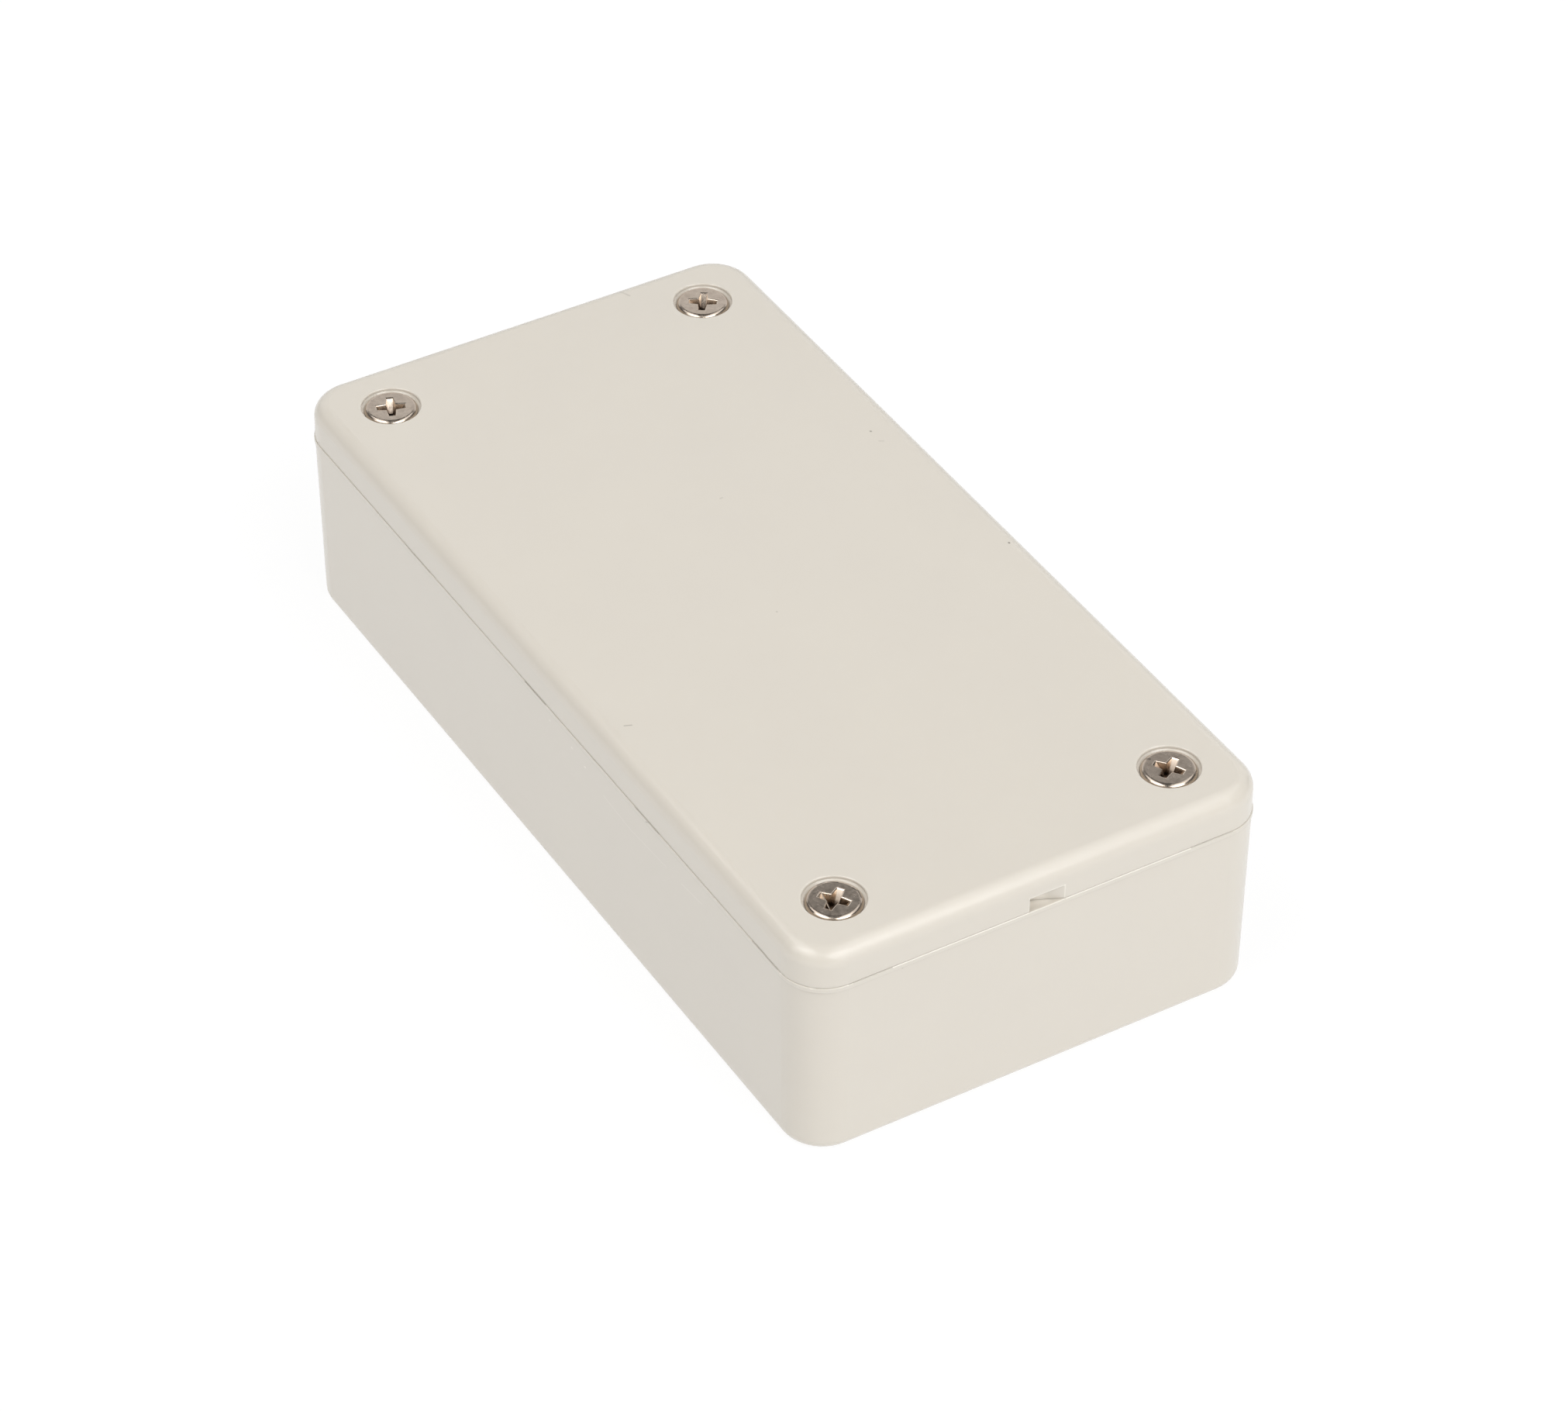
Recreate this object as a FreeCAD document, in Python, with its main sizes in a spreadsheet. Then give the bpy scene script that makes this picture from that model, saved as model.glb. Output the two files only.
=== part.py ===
import FreeCAD, Part
import math
import os
import Sketcher

# Small two-part plastic project box, 100 x 50 x 24 mm, for a circuit module.
# A tray-shaped base is closed by a lid that wraps over its top. Four countersunk machine
# screws go through the lid into brass inserts in the base's corner pillars.
# All lengths are in millimetres. The origin is the centre of the underside, +X runs along the
# box towards the end with the pry slot, and +Z is up.

DOC = FreeCAD.newDocument("project_box")

# Driving dimensions. Each line is the name, the value and what it measures.
DIMENSIONS = [
    ("box_height", 24.3, "underside of the base to the lid's face"),
    ("lid_length", 100.0, "outside of the lid at its lower edge"),
    ("lid_width", 50.1, "outside of the lid at its lower edge"),
    ("corner_radius", 4.5, "upright corners of the lid and the base"),
    ("lid_skirt", 3.9, "height of the lid's side wall, seen from outside"),
    ("lid_plate", 2.2, "thickness of the lid's face"),
    ("lid_taper", 0.05, "how far the lid's side leans in over its height"),
    ("lid_round", 1.6, "rounding along the lid's top edge"),
    ("parting_gap", 0.02, "open line between the lid's edge and the base's rim"),
    ("base_wall", 2.2, "thickness of the base's side wall at the rim"),
    ("base_floor", 2.0, "thickness of the base's floor"),
    ("base_taper", 0.2, "how far the base's side leans in from the rim to the underside"),
    ("base_round", 1.2, "rounding along the base's bottom edge"),
    ("rim_proud", 0.1, "how far the rim stands proud of the wall below it"),
    ("rim_band", 0.5, "height of the proud rim"),
    ("rim_round", 0.08, "broken edge along the top of the proud rim"),
    ("cavity_draft", 0.5, "lean of the cavity's wall, in degrees"),
    ("cavity_round", 0.8, "rounding where the cavity's wall meets the floor"),
    ("screw_inset_x", 6.85, "screw's axis from the lid's short side"),
    ("screw_inset_y", 7.0, "screw's axis from the lid's long side"),
    ("screw_thread", 2.9, "outside diameter of the screw's thread"),
    ("screw_length", 10.0, "screw from the top of its head to its tip"),
    ("screw_tip", 0.4, "chamfer on the screw's tip"),
    ("head_diameter", 5.4, "screw head"),
    ("head_round", 0.35, "rounding along the edge of the head"),
    ("head_land", 0.1, "straight band between the rounding and the cone"),
    ("head_sink", 0.1, "depth of the head's top below the lid's face"),
    ("cross_span", 3.1, "cross recess from tip to tip at the top"),
    ("cross_slot", 0.8, "width of each arm at its tip"),
    ("cross_root", 1.2, "width of each arm where it meets the middle"),
    ("cross_depth", 1.25, "depth of the cross recess"),
    ("cross_foot", 1.1, "cross recess from tip to tip at its bottom"),
    ("recess_gap", 0.3, "clearance round the head in the lid's recess"),
    ("recess_round", 0.15, "broken edge of that recess"),
    ("seat_gap", 0.05, "clearance between the screw's cone and the lid's countersink"),
    ("shank_gap", 0.25, "clearance round the screw's thread in the lid"),
    ("boss_diameter", 7.0, "boss under the lid round each screw"),
    ("pillar_diameter", 7.6, "corner pillar of the base"),
    ("pillar_web", 1.2, "thickness of the webs from a pillar to the walls"),
    ("insert_diameter", 4.4, "hole in the pillar for the brass insert"),
    ("insert_length", 5.0, "brass insert"),
    ("insert_bite", 0.05, "how deep the insert's knurl bites into the pillar"),
    ("insert_groove", 0.25, "depth of the groove round the insert"),
    ("insert_band", 1.8, "height of each knurled band of the insert"),
    ("insert_lead", 0.3, "chamfer at the mouth of the insert's thread"),
    ("thread_gap", 0.05, "clearance between the screw's thread and the insert"),
    ("core_gap", 0.15, "clearance round the screw's tip in the hole below the insert"),
    ("core_depth", 4.5, "depth of that hole below the insert"),
    ("rib_thickness", 1.2, "locating rib under the lid's edge"),
    ("rib_reach", 1.5, "how far the rib goes down inside the base's rim"),
    ("rib_gap", 0.15, "clearance between the rib and the base's wall"),
    ("rib_end_gap", 0.6, "clearance between the rib's end and the pillar"),
    ("guide_pitch", 14.0, "card guide to card guide along the wall"),
    ("guide_slot", 1.8, "width of the slot that holds a board's edge"),
    ("guide_rib", 1.0, "thickness of each rib of a guide"),
    ("guide_reach", 1.2, "how far the guides stand out from the wall"),
    ("guide_drop", 0.6, "distance from the guides' tops to the lid's locating rib"),
    ("post_pitch_x", 66.0, "board post to board post along the box"),
    ("post_pitch_y", 30.0, "board post to board post across the box"),
    ("post_diameter", 5.0, "board post"),
    ("post_height", 3.0, "board post above the floor"),
    ("post_hole", 2.0, "pilot hole in each post"),
    ("pry_width", 3.8, "pry slot along the lid's edge"),
    ("pry_height", 1.55, "height of the pry slot"),
    ("pry_depth", 1.75, "depth of the pry slot at its deep end"),
    ("pry_shift", 0.4, "middle of the pry slot from the middle of the short side"),
    ("turn_1", 36.4, "turn of the first screw's cross, in degrees"),
    ("turn_2", 33.3, "turn of the second screw's cross, in degrees"),
    ("turn_3", 68.3, "turn of the third screw's cross, in degrees"),
    ("turn_4", 55.2, "turn of the fourth screw's cross, in degrees"),
]
GUIDES_PER_WALL = 5

SHEET = DOC.addObject("Spreadsheet::Sheet", "size")
for row, (alias, value, meaning) in enumerate(DIMENSIONS, start=1):
    SHEET.set(f"A{row}", alias)
    SHEET.set(f"B{row}", str(value))
    SHEET.set(f"C{row}", meaning)
    SHEET.setAlias(f"B{row}", alias)
DOC.recompute()

# Levels and places worked out from the driving dimensions.
LID_EDGE_Z = "(size.box_height - size.lid_skirt)"
RIM_Z = f"({LID_EDGE_Z} - size.parting_gap)"
PLATE_Z = "(size.box_height - size.lid_plate)"
HEAD_Z = "(size.box_height - size.head_sink)"
OUT_X = "(size.lid_length / 2)"
OUT_Y = "(size.lid_width / 2)"
CAVITY_X = f"({OUT_X} - size.base_wall)"
CAVITY_Y = f"({OUT_Y} - size.base_wall)"
RIB_X = f"({CAVITY_X} - size.rib_gap)"
RIB_Y = f"({CAVITY_Y} - size.rib_gap)"
CORNER_INSIDE = "(size.corner_radius - size.base_wall)"
SCREW_X = f"({OUT_X} - size.screw_inset_x)"
SCREW_Y = f"({OUT_Y} - size.screw_inset_y)"
HEAD_RADIUS = "(size.head_diameter / 2)"
THREAD_RADIUS = "(size.screw_thread / 2)"
INSERT_BORE = f"({THREAD_RADIUS} + size.thread_gap)"
RECESS_RADIUS = f"({HEAD_RADIUS} + size.recess_gap)"
SAME = 1e-4


def number(expression):
    """Value of an expression over the sheet, as a plain number."""
    value = SHEET.evalExpression(expression)
    return float(getattr(value, "Value", value))


def new_body(label):
    """An empty body whose label names the sub-part and its file."""
    body = DOC.addObject("PartDesign::Body", label)
    body.Label = label
    return body


def origin_feature(body, role):
    """One of the body's own origin planes or axes."""
    return next(item for item in body.Origin.OriginFeatures if item.Role == role)


def new_sketch(body, name, plane="XY_Plane", offset=("0", "0", "0")):
    """Sketch on one of the body's origin planes, moved by expressions along the sketch's own axes."""
    sketch = body.newObject("Sketcher::SketchObject", f"{body.Name}_{name}")
    sketch.AttachmentSupport = [(origin_feature(body, plane), "")]
    sketch.MapMode = "FlatFace"
    for axis, expression in zip("xyz", offset):
        if expression != "0":
            sketch.setExpression(f"AttachmentOffset.Base.{axis}", expression)
    DOC.recompute()
    return sketch


def drive(sketch, constraint, expression):
    """Add a dimension to a sketch and tie it to the sheet."""
    index = sketch.addConstraint(constraint)
    sketch.setExpression(f"Constraints[{index}]", expression)


def place_point(sketch, geometry, point, x, y):
    """Hold one point of the sketch at expressions x and y from the sketch's origin."""
    for kind, axis, expression in (("DistanceX", -2, x), ("DistanceY", -1, y)):
        if expression == "0":
            sketch.addConstraint(Sketcher.Constraint("PointOnObject", geometry, point, axis))
        else:
            distance = Sketcher.Constraint(kind, -1, 1, geometry, point, number(expression))
            drive(sketch, distance, expression)


def draw_polygon(sketch, points):
    """Closed outline of straight lines through points given as pairs of expressions."""
    places = [FreeCAD.Vector(number(x), number(y), 0) for x, y in points]
    first = sketch.GeometryCount
    count = len(points)
    for index, place in enumerate(places):
        line = Part.LineSegment(place, places[(index + 1) % count])
        sketch.addGeometry(line, False)
    for index in range(count):
        joined = first + (index + 1) % count
        sketch.addConstraint(Sketcher.Constraint("Coincident", first + index, 2, joined, 1))
    for index, (x, y) in enumerate(points):
        place_point(sketch, first + index, 1, x, y)


def draw_circle(sketch, x, y, radius):
    """Circle with its centre and radius tied to the sheet."""
    centre = FreeCAD.Vector(number(x), number(y), 0)
    circle = Part.Circle(centre, FreeCAD.Vector(0, 0, 1), number(radius))
    index = sketch.addGeometry(circle, False)
    place_point(sketch, index, 3, x, y)
    drive(sketch, Sketcher.Constraint("Radius", index, number(radius)), radius)


def draw_rounded_rectangle(sketch, half_x, half_y, radius):
    """Rectangle centred on the sketch's origin, with four equal round corners."""
    far_x, far_y, turn = number(half_x), number(half_y), number(radius)
    near_x, near_y = far_x - turn, far_y - turn
    corners = [(near_x, near_y), (-near_x, near_y), (-near_x, -near_y), (near_x, -near_y)]
    ends = [
        ((near_x, far_y), (-near_x, far_y)),
        ((-far_x, near_y), (-far_x, -near_y)),
        ((-near_x, -far_y), (near_x, -far_y)),
        ((far_x, -near_y), (far_x, near_y)),
    ]
    quarter = math.pi / 2
    for start, end in ends:
        sketch.addGeometry(Part.LineSegment(FreeCAD.Vector(*start, 0), FreeCAD.Vector(*end, 0)), False)
    for index, corner in enumerate(corners):
        circle = Part.Circle(FreeCAD.Vector(*corner, 0), FreeCAD.Vector(0, 0, 1), turn)
        sketch.addGeometry(Part.ArcOfCircle(circle, index * quarter, (index + 1) * quarter), False)
    for index in range(4):
        arc, next_line, line_before = 4 + index, index, (index + 3) % 4
        sketch.addConstraint(Sketcher.Constraint("Tangent", line_before, 2, arc, 1))
        sketch.addConstraint(Sketcher.Constraint("Tangent", arc, 2, next_line, 1))
    for line, direction in enumerate(("Horizontal", "Vertical", "Horizontal", "Vertical")):
        sketch.addConstraint(Sketcher.Constraint(direction, line))
    for arc in (5, 6, 7):
        sketch.addConstraint(Sketcher.Constraint("Equal", 4, arc))
    sketch.addConstraint(Sketcher.Constraint("Symmetric", 0, 1, 2, 1, -1, 1))
    drive(sketch, Sketcher.Constraint("DistanceX", -1, 1, 3, 2, far_x), half_x)
    drive(sketch, Sketcher.Constraint("DistanceY", -1, 1, 0, 1, far_y), half_y)
    drive(sketch, Sketcher.Constraint("Radius", 4, turn), radius)


def add_feature(body, kind, name, sketch, length=None, upwards=True, taper=None):
    """Pad or pocket of a sketch, by a length and perhaps a taper angle tied to the sheet."""
    feature = body.newObject(f"PartDesign::{kind}", f"{body.Name}_{name}")
    feature.Profile = sketch
    feature.Type = "Length"
    feature.setExpression("Length", length)
    feature.Reversed = upwards == (kind == "Pocket")
    if taper is not None:
        feature.setExpression("TaperAngle", taper)
    DOC.recompute()
    return feature


def turn_feature(body, kind, name, sketch):
    """Revolution or groove of a profile about the sketch's own upright axis."""
    feature = body.newObject(f"PartDesign::{kind}", f"{body.Name}_{name}")
    feature.Profile = sketch
    feature.ReferenceAxis = (sketch, ["V_Axis"])
    feature.Angle = 360
    DOC.recompute()
    return feature


def round_edges(body, name, radius, wanted):
    """Fillet of those edges of the body's present shape for which wanted(edge) is true."""
    tip = body.Tip
    names = [f"Edge{index}" for index, edge in enumerate(tip.Shape.Edges, start=1) if wanted(edge)]
    fillet = body.newObject("PartDesign::Fillet", f"{body.Name}_{name}")
    fillet.Base = (tip, names)
    fillet.setExpression("Radius", radius)
    DOC.recompute()
    return fillet


def at_height(expression):
    """Test for an edge that lies flat at a height."""
    height = number(expression)

    def wanted(edge):
        box = edge.BoundBox
        return abs(box.ZMin - height) < SAME and abs(box.ZMax - height) < SAME

    return wanted


def circle_at(height, radius):
    """Test for a full circle of a radius that lies flat at a height."""
    flat, size = at_height(height), number(radius)

    def wanted(edge):
        round_edge = isinstance(edge.Curve, Part.Circle)
        return flat(edge) and round_edge and abs(edge.Curve.Radius - size) < SAME

    return wanted


def repeat_in_corners(body, name, features, row=None):
    """Mirror features to the other corners. With row=(pitch, count) they are first repeated along X."""
    pattern = body.newObject("PartDesign::MultiTransform", f"{body.Name}_{name}")
    pattern.Originals = features
    steps = []
    if row is not None:
        pitch, count = row
        line = body.newObject("PartDesign::LinearPattern", f"{body.Name}_{name}_row")
        line.Direction = (origin_feature(body, "X_Axis"), [""])
        line.Occurrences = count
        line.setExpression("Length", f"{pitch} * {count - 1}")
        steps.append(line)
    planes = ["XZ_Plane"] if row is not None else ["YZ_Plane", "XZ_Plane"]
    for plane in planes:
        mirror = body.newObject("PartDesign::Mirrored", f"{body.Name}_{name}_{plane}")
        mirror.MirrorPlane = (origin_feature(body, plane), [""])
        steps.append(mirror)
    pattern.Transformations = steps
    body.Tip = pattern
    DOC.recompute()
    return pattern


def move_body(body, x, y, z, turn=None):
    """Tie a body's place, and its turn about its own upright axis, to the sheet."""
    for axis, expression in zip("xyz", (x, y, z)):
        body.setExpression(f"Placement.Base.{axis}", expression)
    if turn is not None:
        upright = FreeCAD.Rotation(FreeCAD.Vector(0, 0, 1), number(turn))
        body.Placement = FreeCAD.Placement(body.Placement.Base, upright)
        body.setExpression("Placement.Rotation.Angle", turn)
    DOC.recompute()


# Base shell: drafted walls with a round bottom edge and a thin proud rim, then the cavity.
def make_base():
    body = new_body("base_shell")
    wall_top = f"({RIM_Z} - size.rim_band)"
    foot = new_sketch(body, "foot")
    foot_x = f"{OUT_X} - size.base_taper"
    foot_y = f"{OUT_Y} - size.base_taper"
    draw_rounded_rectangle(foot, foot_x, foot_y, "size.corner_radius - size.base_taper")
    lean = f"atan(size.base_taper / {wall_top})"
    add_feature(body, "Pad", "walls", foot, wall_top, taper=lean)
    round_edges(body, "bottom_edge", "size.base_round", at_height("0"))

    rim = new_sketch(body, "rim_outline", offset=("0", "0", wall_top))
    proud = "size.rim_proud"
    draw_rounded_rectangle(rim, f"{OUT_X} + {proud}", f"{OUT_Y} + {proud}", f"size.corner_radius + {proud}")
    add_feature(body, "Pad", "rim", rim, "size.rim_band")
    round_edges(body, "rim_edge", "size.rim_round", at_height(RIM_Z))

    mouth = new_sketch(body, "mouth", offset=("0", "0", RIM_Z))
    draw_rounded_rectangle(mouth, CAVITY_X, CAVITY_Y, CORNER_INSIDE)
    depth = f"{RIM_Z} - size.base_floor"
    add_feature(body, "Pocket", "cavity", mouth, depth, upwards=False, taper="-size.cavity_draft * 1 deg")
    round_edges(body, "cavity_edge", "size.cavity_round", at_height("size.base_floor"))
    add_pillars(body)
    add_guides(body)
    add_posts(body)
    return body


# Corner pillar with two webs to the walls, and the stepped hole for a brass insert.
def add_pillars(body):
    floor = ("0", "0", "size.base_floor - size.cavity_round")
    height = f"{RIM_Z} - size.base_floor + size.cavity_round"
    column = new_sketch(body, "pillar_round", offset=floor)
    draw_circle(column, SCREW_X, SCREW_Y, "size.pillar_diameter / 2")
    pillar = add_feature(body, "Pad", "pillar", column, height)

    half_web = "size.pillar_web / 2"
    wall_x = f"{CAVITY_X} + {half_web}"
    wall_y = f"{CAVITY_Y} + {half_web}"
    webs = new_sketch(body, "web_outline", offset=floor)
    draw_polygon(webs, [
        (f"{SCREW_X} - {half_web}", f"{SCREW_Y} - {half_web}"),
        (wall_x, f"{SCREW_Y} - {half_web}"),
        (wall_x, f"{SCREW_Y} + {half_web}"),
        (f"{SCREW_X} + {half_web}", f"{SCREW_Y} + {half_web}"),
        (f"{SCREW_X} + {half_web}", wall_y),
        (f"{SCREW_X} - {half_web}", wall_y),
    ])
    web = add_feature(body, "Pad", "web", webs, height)

    seat = new_sketch(body, "insert_seat", offset=("0", "0", RIM_Z))
    draw_circle(seat, SCREW_X, SCREW_Y, "size.insert_diameter / 2")
    hole = add_feature(body, "Pocket", "insert_hole", seat, "size.insert_length", upwards=False)
    core = new_sketch(body, "core_outline", offset=("0", "0", f"{RIM_Z} - size.insert_length"))
    draw_circle(core, SCREW_X, SCREW_Y, f"{THREAD_RADIUS} + size.core_gap")
    bore = add_feature(body, "Pocket", "core", core, "size.core_depth", upwards=False)
    repeat_in_corners(body, "pillars", [pillar, web, hole, bore])


# Card guides: pairs of upright ribs on both long walls that hold a board's edge between them.
def add_guides(body):
    top = f"{RIM_Z} - size.rib_reach - size.guide_drop"
    outline = new_sketch(body, "guide_outline", offset=("0", "0", "size.base_floor - size.cavity_round"))
    first = f"-size.guide_pitch * {(GUIDES_PER_WALL - 1) / 2}"
    inner_y = f"{CAVITY_Y} - size.guide_reach"
    outer_y = f"{CAVITY_Y} + size.guide_rib / 2"
    for side in (-1, 1):
        near = f"{first} + {side} * size.guide_slot / 2"
        far = f"{first} + {side} * (size.guide_slot / 2 + size.guide_rib)"
        draw_polygon(outline, [(near, inner_y), (far, inner_y), (far, outer_y), (near, outer_y)])
    height = f"{top} - size.base_floor + size.cavity_round"
    guide = add_feature(body, "Pad", "guide", outline, height)
    repeat_in_corners(body, "guides", [guide], row=("size.guide_pitch", GUIDES_PER_WALL))


# Low posts on the floor, each with a pilot hole for a board's screw.
def add_posts(body):
    floor = ("0", "0", "size.base_floor - size.cavity_round")
    height = "size.post_height + size.cavity_round"
    place = ("size.post_pitch_x / 2", "size.post_pitch_y / 2")
    ring = new_sketch(body, "post_outline", offset=floor)
    draw_circle(ring, *place, "size.post_diameter / 2")
    post = add_feature(body, "Pad", "post", ring, height)
    pilot = new_sketch(body, "pilot_outline", offset=("0", "0", "size.base_floor + size.post_height"))
    draw_circle(pilot, *place, "size.post_hole / 2")
    hole = add_feature(body, "Pocket", "pilot", pilot, "size.post_height", upwards=False)
    repeat_in_corners(body, "posts", [post, hole])


# Lid: a rounded cover with a short skirt, hollow underneath, four screw bosses and four ribs.
def make_lid():
    body = new_body("lid")
    edge = new_sketch(body, "edge", offset=("0", "0", LID_EDGE_Z))
    draw_rounded_rectangle(edge, OUT_X, OUT_Y, "size.corner_radius")
    lean = "-atan(size.lid_taper / size.lid_skirt)"
    add_feature(body, "Pad", "cover", edge, "size.lid_skirt", taper=lean)
    round_edges(body, "top_edge", "size.lid_round", at_height("size.box_height"))

    hollow = new_sketch(body, "hollow_outline", offset=("0", "0", LID_EDGE_Z))
    draw_rounded_rectangle(hollow, RIB_X, RIB_Y, f"{CORNER_INSIDE} - size.rib_gap")
    add_feature(body, "Pocket", "hollow", hollow, "size.lid_skirt - size.lid_plate")
    add_locating_ribs(body)
    add_screw_seats(body)
    add_pry_slot(body)
    return body


# Straight ribs under the lid that drop inside the base's rim, between the pillars.
def add_locating_ribs(body):
    rib_foot = f"({RIM_Z} - size.rib_reach)"
    height = f"{PLATE_Z} - {rib_foot}"
    clear = "size.pillar_diameter / 2 + size.rib_end_gap"
    end_x = f"{SCREW_X} - {clear}"
    end_y = f"{SCREW_Y} - {clear}"
    inside_x = f"{RIB_X} - size.rib_thickness"
    inside_y = f"{RIB_Y} - size.rib_thickness"
    outline = new_sketch(body, "rib_outline", offset=("0", "0", rib_foot))
    for side in ("", "-"):
        draw_polygon(outline, [
            (f"-({end_x})", f"{side}({inside_y})"),
            (end_x, f"{side}({inside_y})"),
            (end_x, f"{side}({RIB_Y})"),
            (f"-({end_x})", f"{side}({RIB_Y})"),
        ])
        draw_polygon(outline, [
            (f"{side}({inside_x})", f"-({end_y})"),
            (f"{side}({RIB_X})", f"-({end_y})"),
            (f"{side}({RIB_X})", end_y),
            (f"{side}({inside_x})", end_y),
        ])
    add_feature(body, "Pad", "ribs", outline, height)


# Boss that stands on a pillar, with the round recess, the countersink and the shank's hole.
def add_screw_seats(body):
    ring = new_sketch(body, "boss_outline", offset=("0", "0", RIM_Z))
    draw_circle(ring, SCREW_X, SCREW_Y, "size.boss_diameter / 2")
    boss = add_feature(body, "Pad", "boss", ring, f"{PLATE_Z} - {RIM_Z} + size.lid_plate / 2")

    shank = f"({THREAD_RADIUS} + size.shank_gap)"
    shank_end = f"-(size.box_height - {RIM_Z} + size.parting_gap)"
    cone_top = "(size.head_sink + size.head_round + size.head_land)"
    widening = f"({HEAD_RADIUS} + size.seat_gap * sqrt(2))"
    profile = new_sketch(body, "seat_profile", "XZ_Plane", (SCREW_X, "size.box_height", f"-{SCREW_Y}"))
    draw_polygon(profile, [
        ("0", "0"),
        (RECESS_RADIUS, "0"),
        (RECESS_RADIUS, f"-({cone_top} - {RECESS_RADIUS} + {widening})"),
        (shank, f"-({cone_top} - {shank} + {widening})"),
        (shank, shank_end),
        ("0", shank_end),
    ])
    seat = turn_feature(body, "Groove", "seat", profile)
    repeat_in_corners(body, "screw_seats", [boss, seat])
    round_edges(body, "recess_edges", "size.recess_round", circle_at("size.box_height", RECESS_RADIUS))


# Wedge-shaped slot in the lid's lower edge for a screwdriver's blade: deep at one end only.
def add_pry_slot(body):
    deep_end = "size.pry_shift - size.pry_width / 2"
    shallow_end = "size.pry_shift + size.pry_width / 2"
    beyond = f"{OUT_X} + size.rim_proud"
    outline = new_sketch(body, "pry_outline", offset=("0", "0", LID_EDGE_Z))
    draw_polygon(outline, [
        (beyond, deep_end),
        (beyond, shallow_end),
        (OUT_X, shallow_end),
        (f"{OUT_X} - size.pry_depth", deep_end),
    ])
    add_feature(body, "Pocket", "pry_slot", outline, "size.pry_height")


# Countersunk machine screw with a tapered cross recess, standing in one corner.
def make_screw(index, side_x, side_y):
    body = new_body(f"lid_screw_{index}")
    edge_z = "-size.head_round"
    cone_z = "-(size.head_round + size.head_land)"
    neck_z = f"{cone_z} - ({HEAD_RADIUS} - {THREAD_RADIUS})"
    profile = new_sketch(body, "profile", "XZ_Plane")
    draw_polygon(profile, [
        ("0", "0"),
        (HEAD_RADIUS, "0"),
        (HEAD_RADIUS, cone_z),
        (THREAD_RADIUS, neck_z),
        (THREAD_RADIUS, "-size.screw_length + size.screw_tip"),
        (f"{THREAD_RADIUS} - size.screw_tip", "-size.screw_length"),
        ("0", "-size.screw_length"),
    ])
    turn_feature(body, "Revolution", "turned", profile)
    round_edges(body, "head_edge", "size.head_round", circle_at("0", HEAD_RADIUS))

    top = new_sketch(body, "cross_top")
    draw_cross(top, "size.cross_span / 2", "size.cross_slot / 2", "size.cross_root / 2")
    bottom = new_sketch(body, "cross_bottom", offset=("0", "0", "-size.cross_depth"))
    shrink = "/ 2 * size.cross_foot / size.cross_span"
    draw_cross(bottom, "size.cross_foot / 2", f"size.cross_slot {shrink}", f"size.cross_root {shrink}")
    recess = body.newObject("PartDesign::SubtractiveLoft", f"{body.Name}_cross")
    recess.Profile = top
    recess.Sections = [bottom]
    recess.Ruled = True
    DOC.recompute()
    move_body(body, f"{side_x} * {SCREW_X}", f"{side_y} * {SCREW_Y}", HEAD_Z, f"size.turn_{index} * 1 deg")
    return body


def draw_cross(sketch, reach, half_tip, half_root):
    """Cross of four arms that widen from their tips to the middle."""
    draw_polygon(sketch, [
        (reach, f"-{half_tip}"),
        (reach, half_tip),
        (half_root, half_root),
        (half_tip, reach),
        (f"-{half_tip}", reach),
        (f"-{half_root}", half_root),
        (f"-{reach}", half_tip),
        (f"-{reach}", f"-{half_tip}"),
        (f"-{half_root}", f"-{half_root}"),
        (f"-{half_tip}", f"-{reach}"),
        (half_tip, f"-{reach}"),
        (half_root, f"-{half_root}"),
    ])


# Turned brass insert: two knurled bands that bite into the pillar, with a plain groove between.
def make_insert(index, side_x, side_y):
    body = new_body(f"thread_insert_{index}")
    outside = "size.insert_diameter / 2 + size.insert_bite"
    groove = "size.insert_diameter / 2 - size.insert_groove"
    profile = new_sketch(body, "profile", "XZ_Plane")
    draw_polygon(profile, [
        (f"{INSERT_BORE} + size.insert_lead", "0"),
        (outside, "0"),
        (outside, "-size.insert_band"),
        (groove, "-size.insert_band"),
        (groove, "-size.insert_length + size.insert_band"),
        (outside, "-size.insert_length + size.insert_band"),
        (outside, "-size.insert_length"),
        (INSERT_BORE, "-size.insert_length"),
        (INSERT_BORE, "-size.insert_lead"),
    ])
    turn_feature(body, "Revolution", "turned", profile)
    move_body(body, f"{side_x} * {SCREW_X}", f"{side_y} * {SCREW_Y}", RIM_Z)
    return body


# Corners in the order of the screws' numbers: pry-slot end first, then the plain end.
CORNERS = [(1, -1), (1, 1), (-1, -1), (-1, 1)]
SUB_PARTS = [make_base(), make_lid()]
for number_of_corner, (toward_x, toward_y) in enumerate(CORNERS, start=1):
    SUB_PARTS.append(make_screw(number_of_corner, toward_x, toward_y))
    SUB_PARTS.append(make_insert(number_of_corner, toward_x, toward_y))
DOC.recompute()

# Nothing is written unless every feature worked and every sub-part is one valid solid.
failed = [item.Label for item in DOC.Objects if {"Invalid", "Error"} & set(item.State)]
if failed:
    raise RuntimeError(f"features that failed: {failed}")
for sub_part in SUB_PARTS:
    shape = sub_part.Shape
    if shape.isNull() or not shape.isValid() or len(shape.Solids) != 1:
        raise RuntimeError(f"{sub_part.Label} is not one valid solid")

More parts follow.
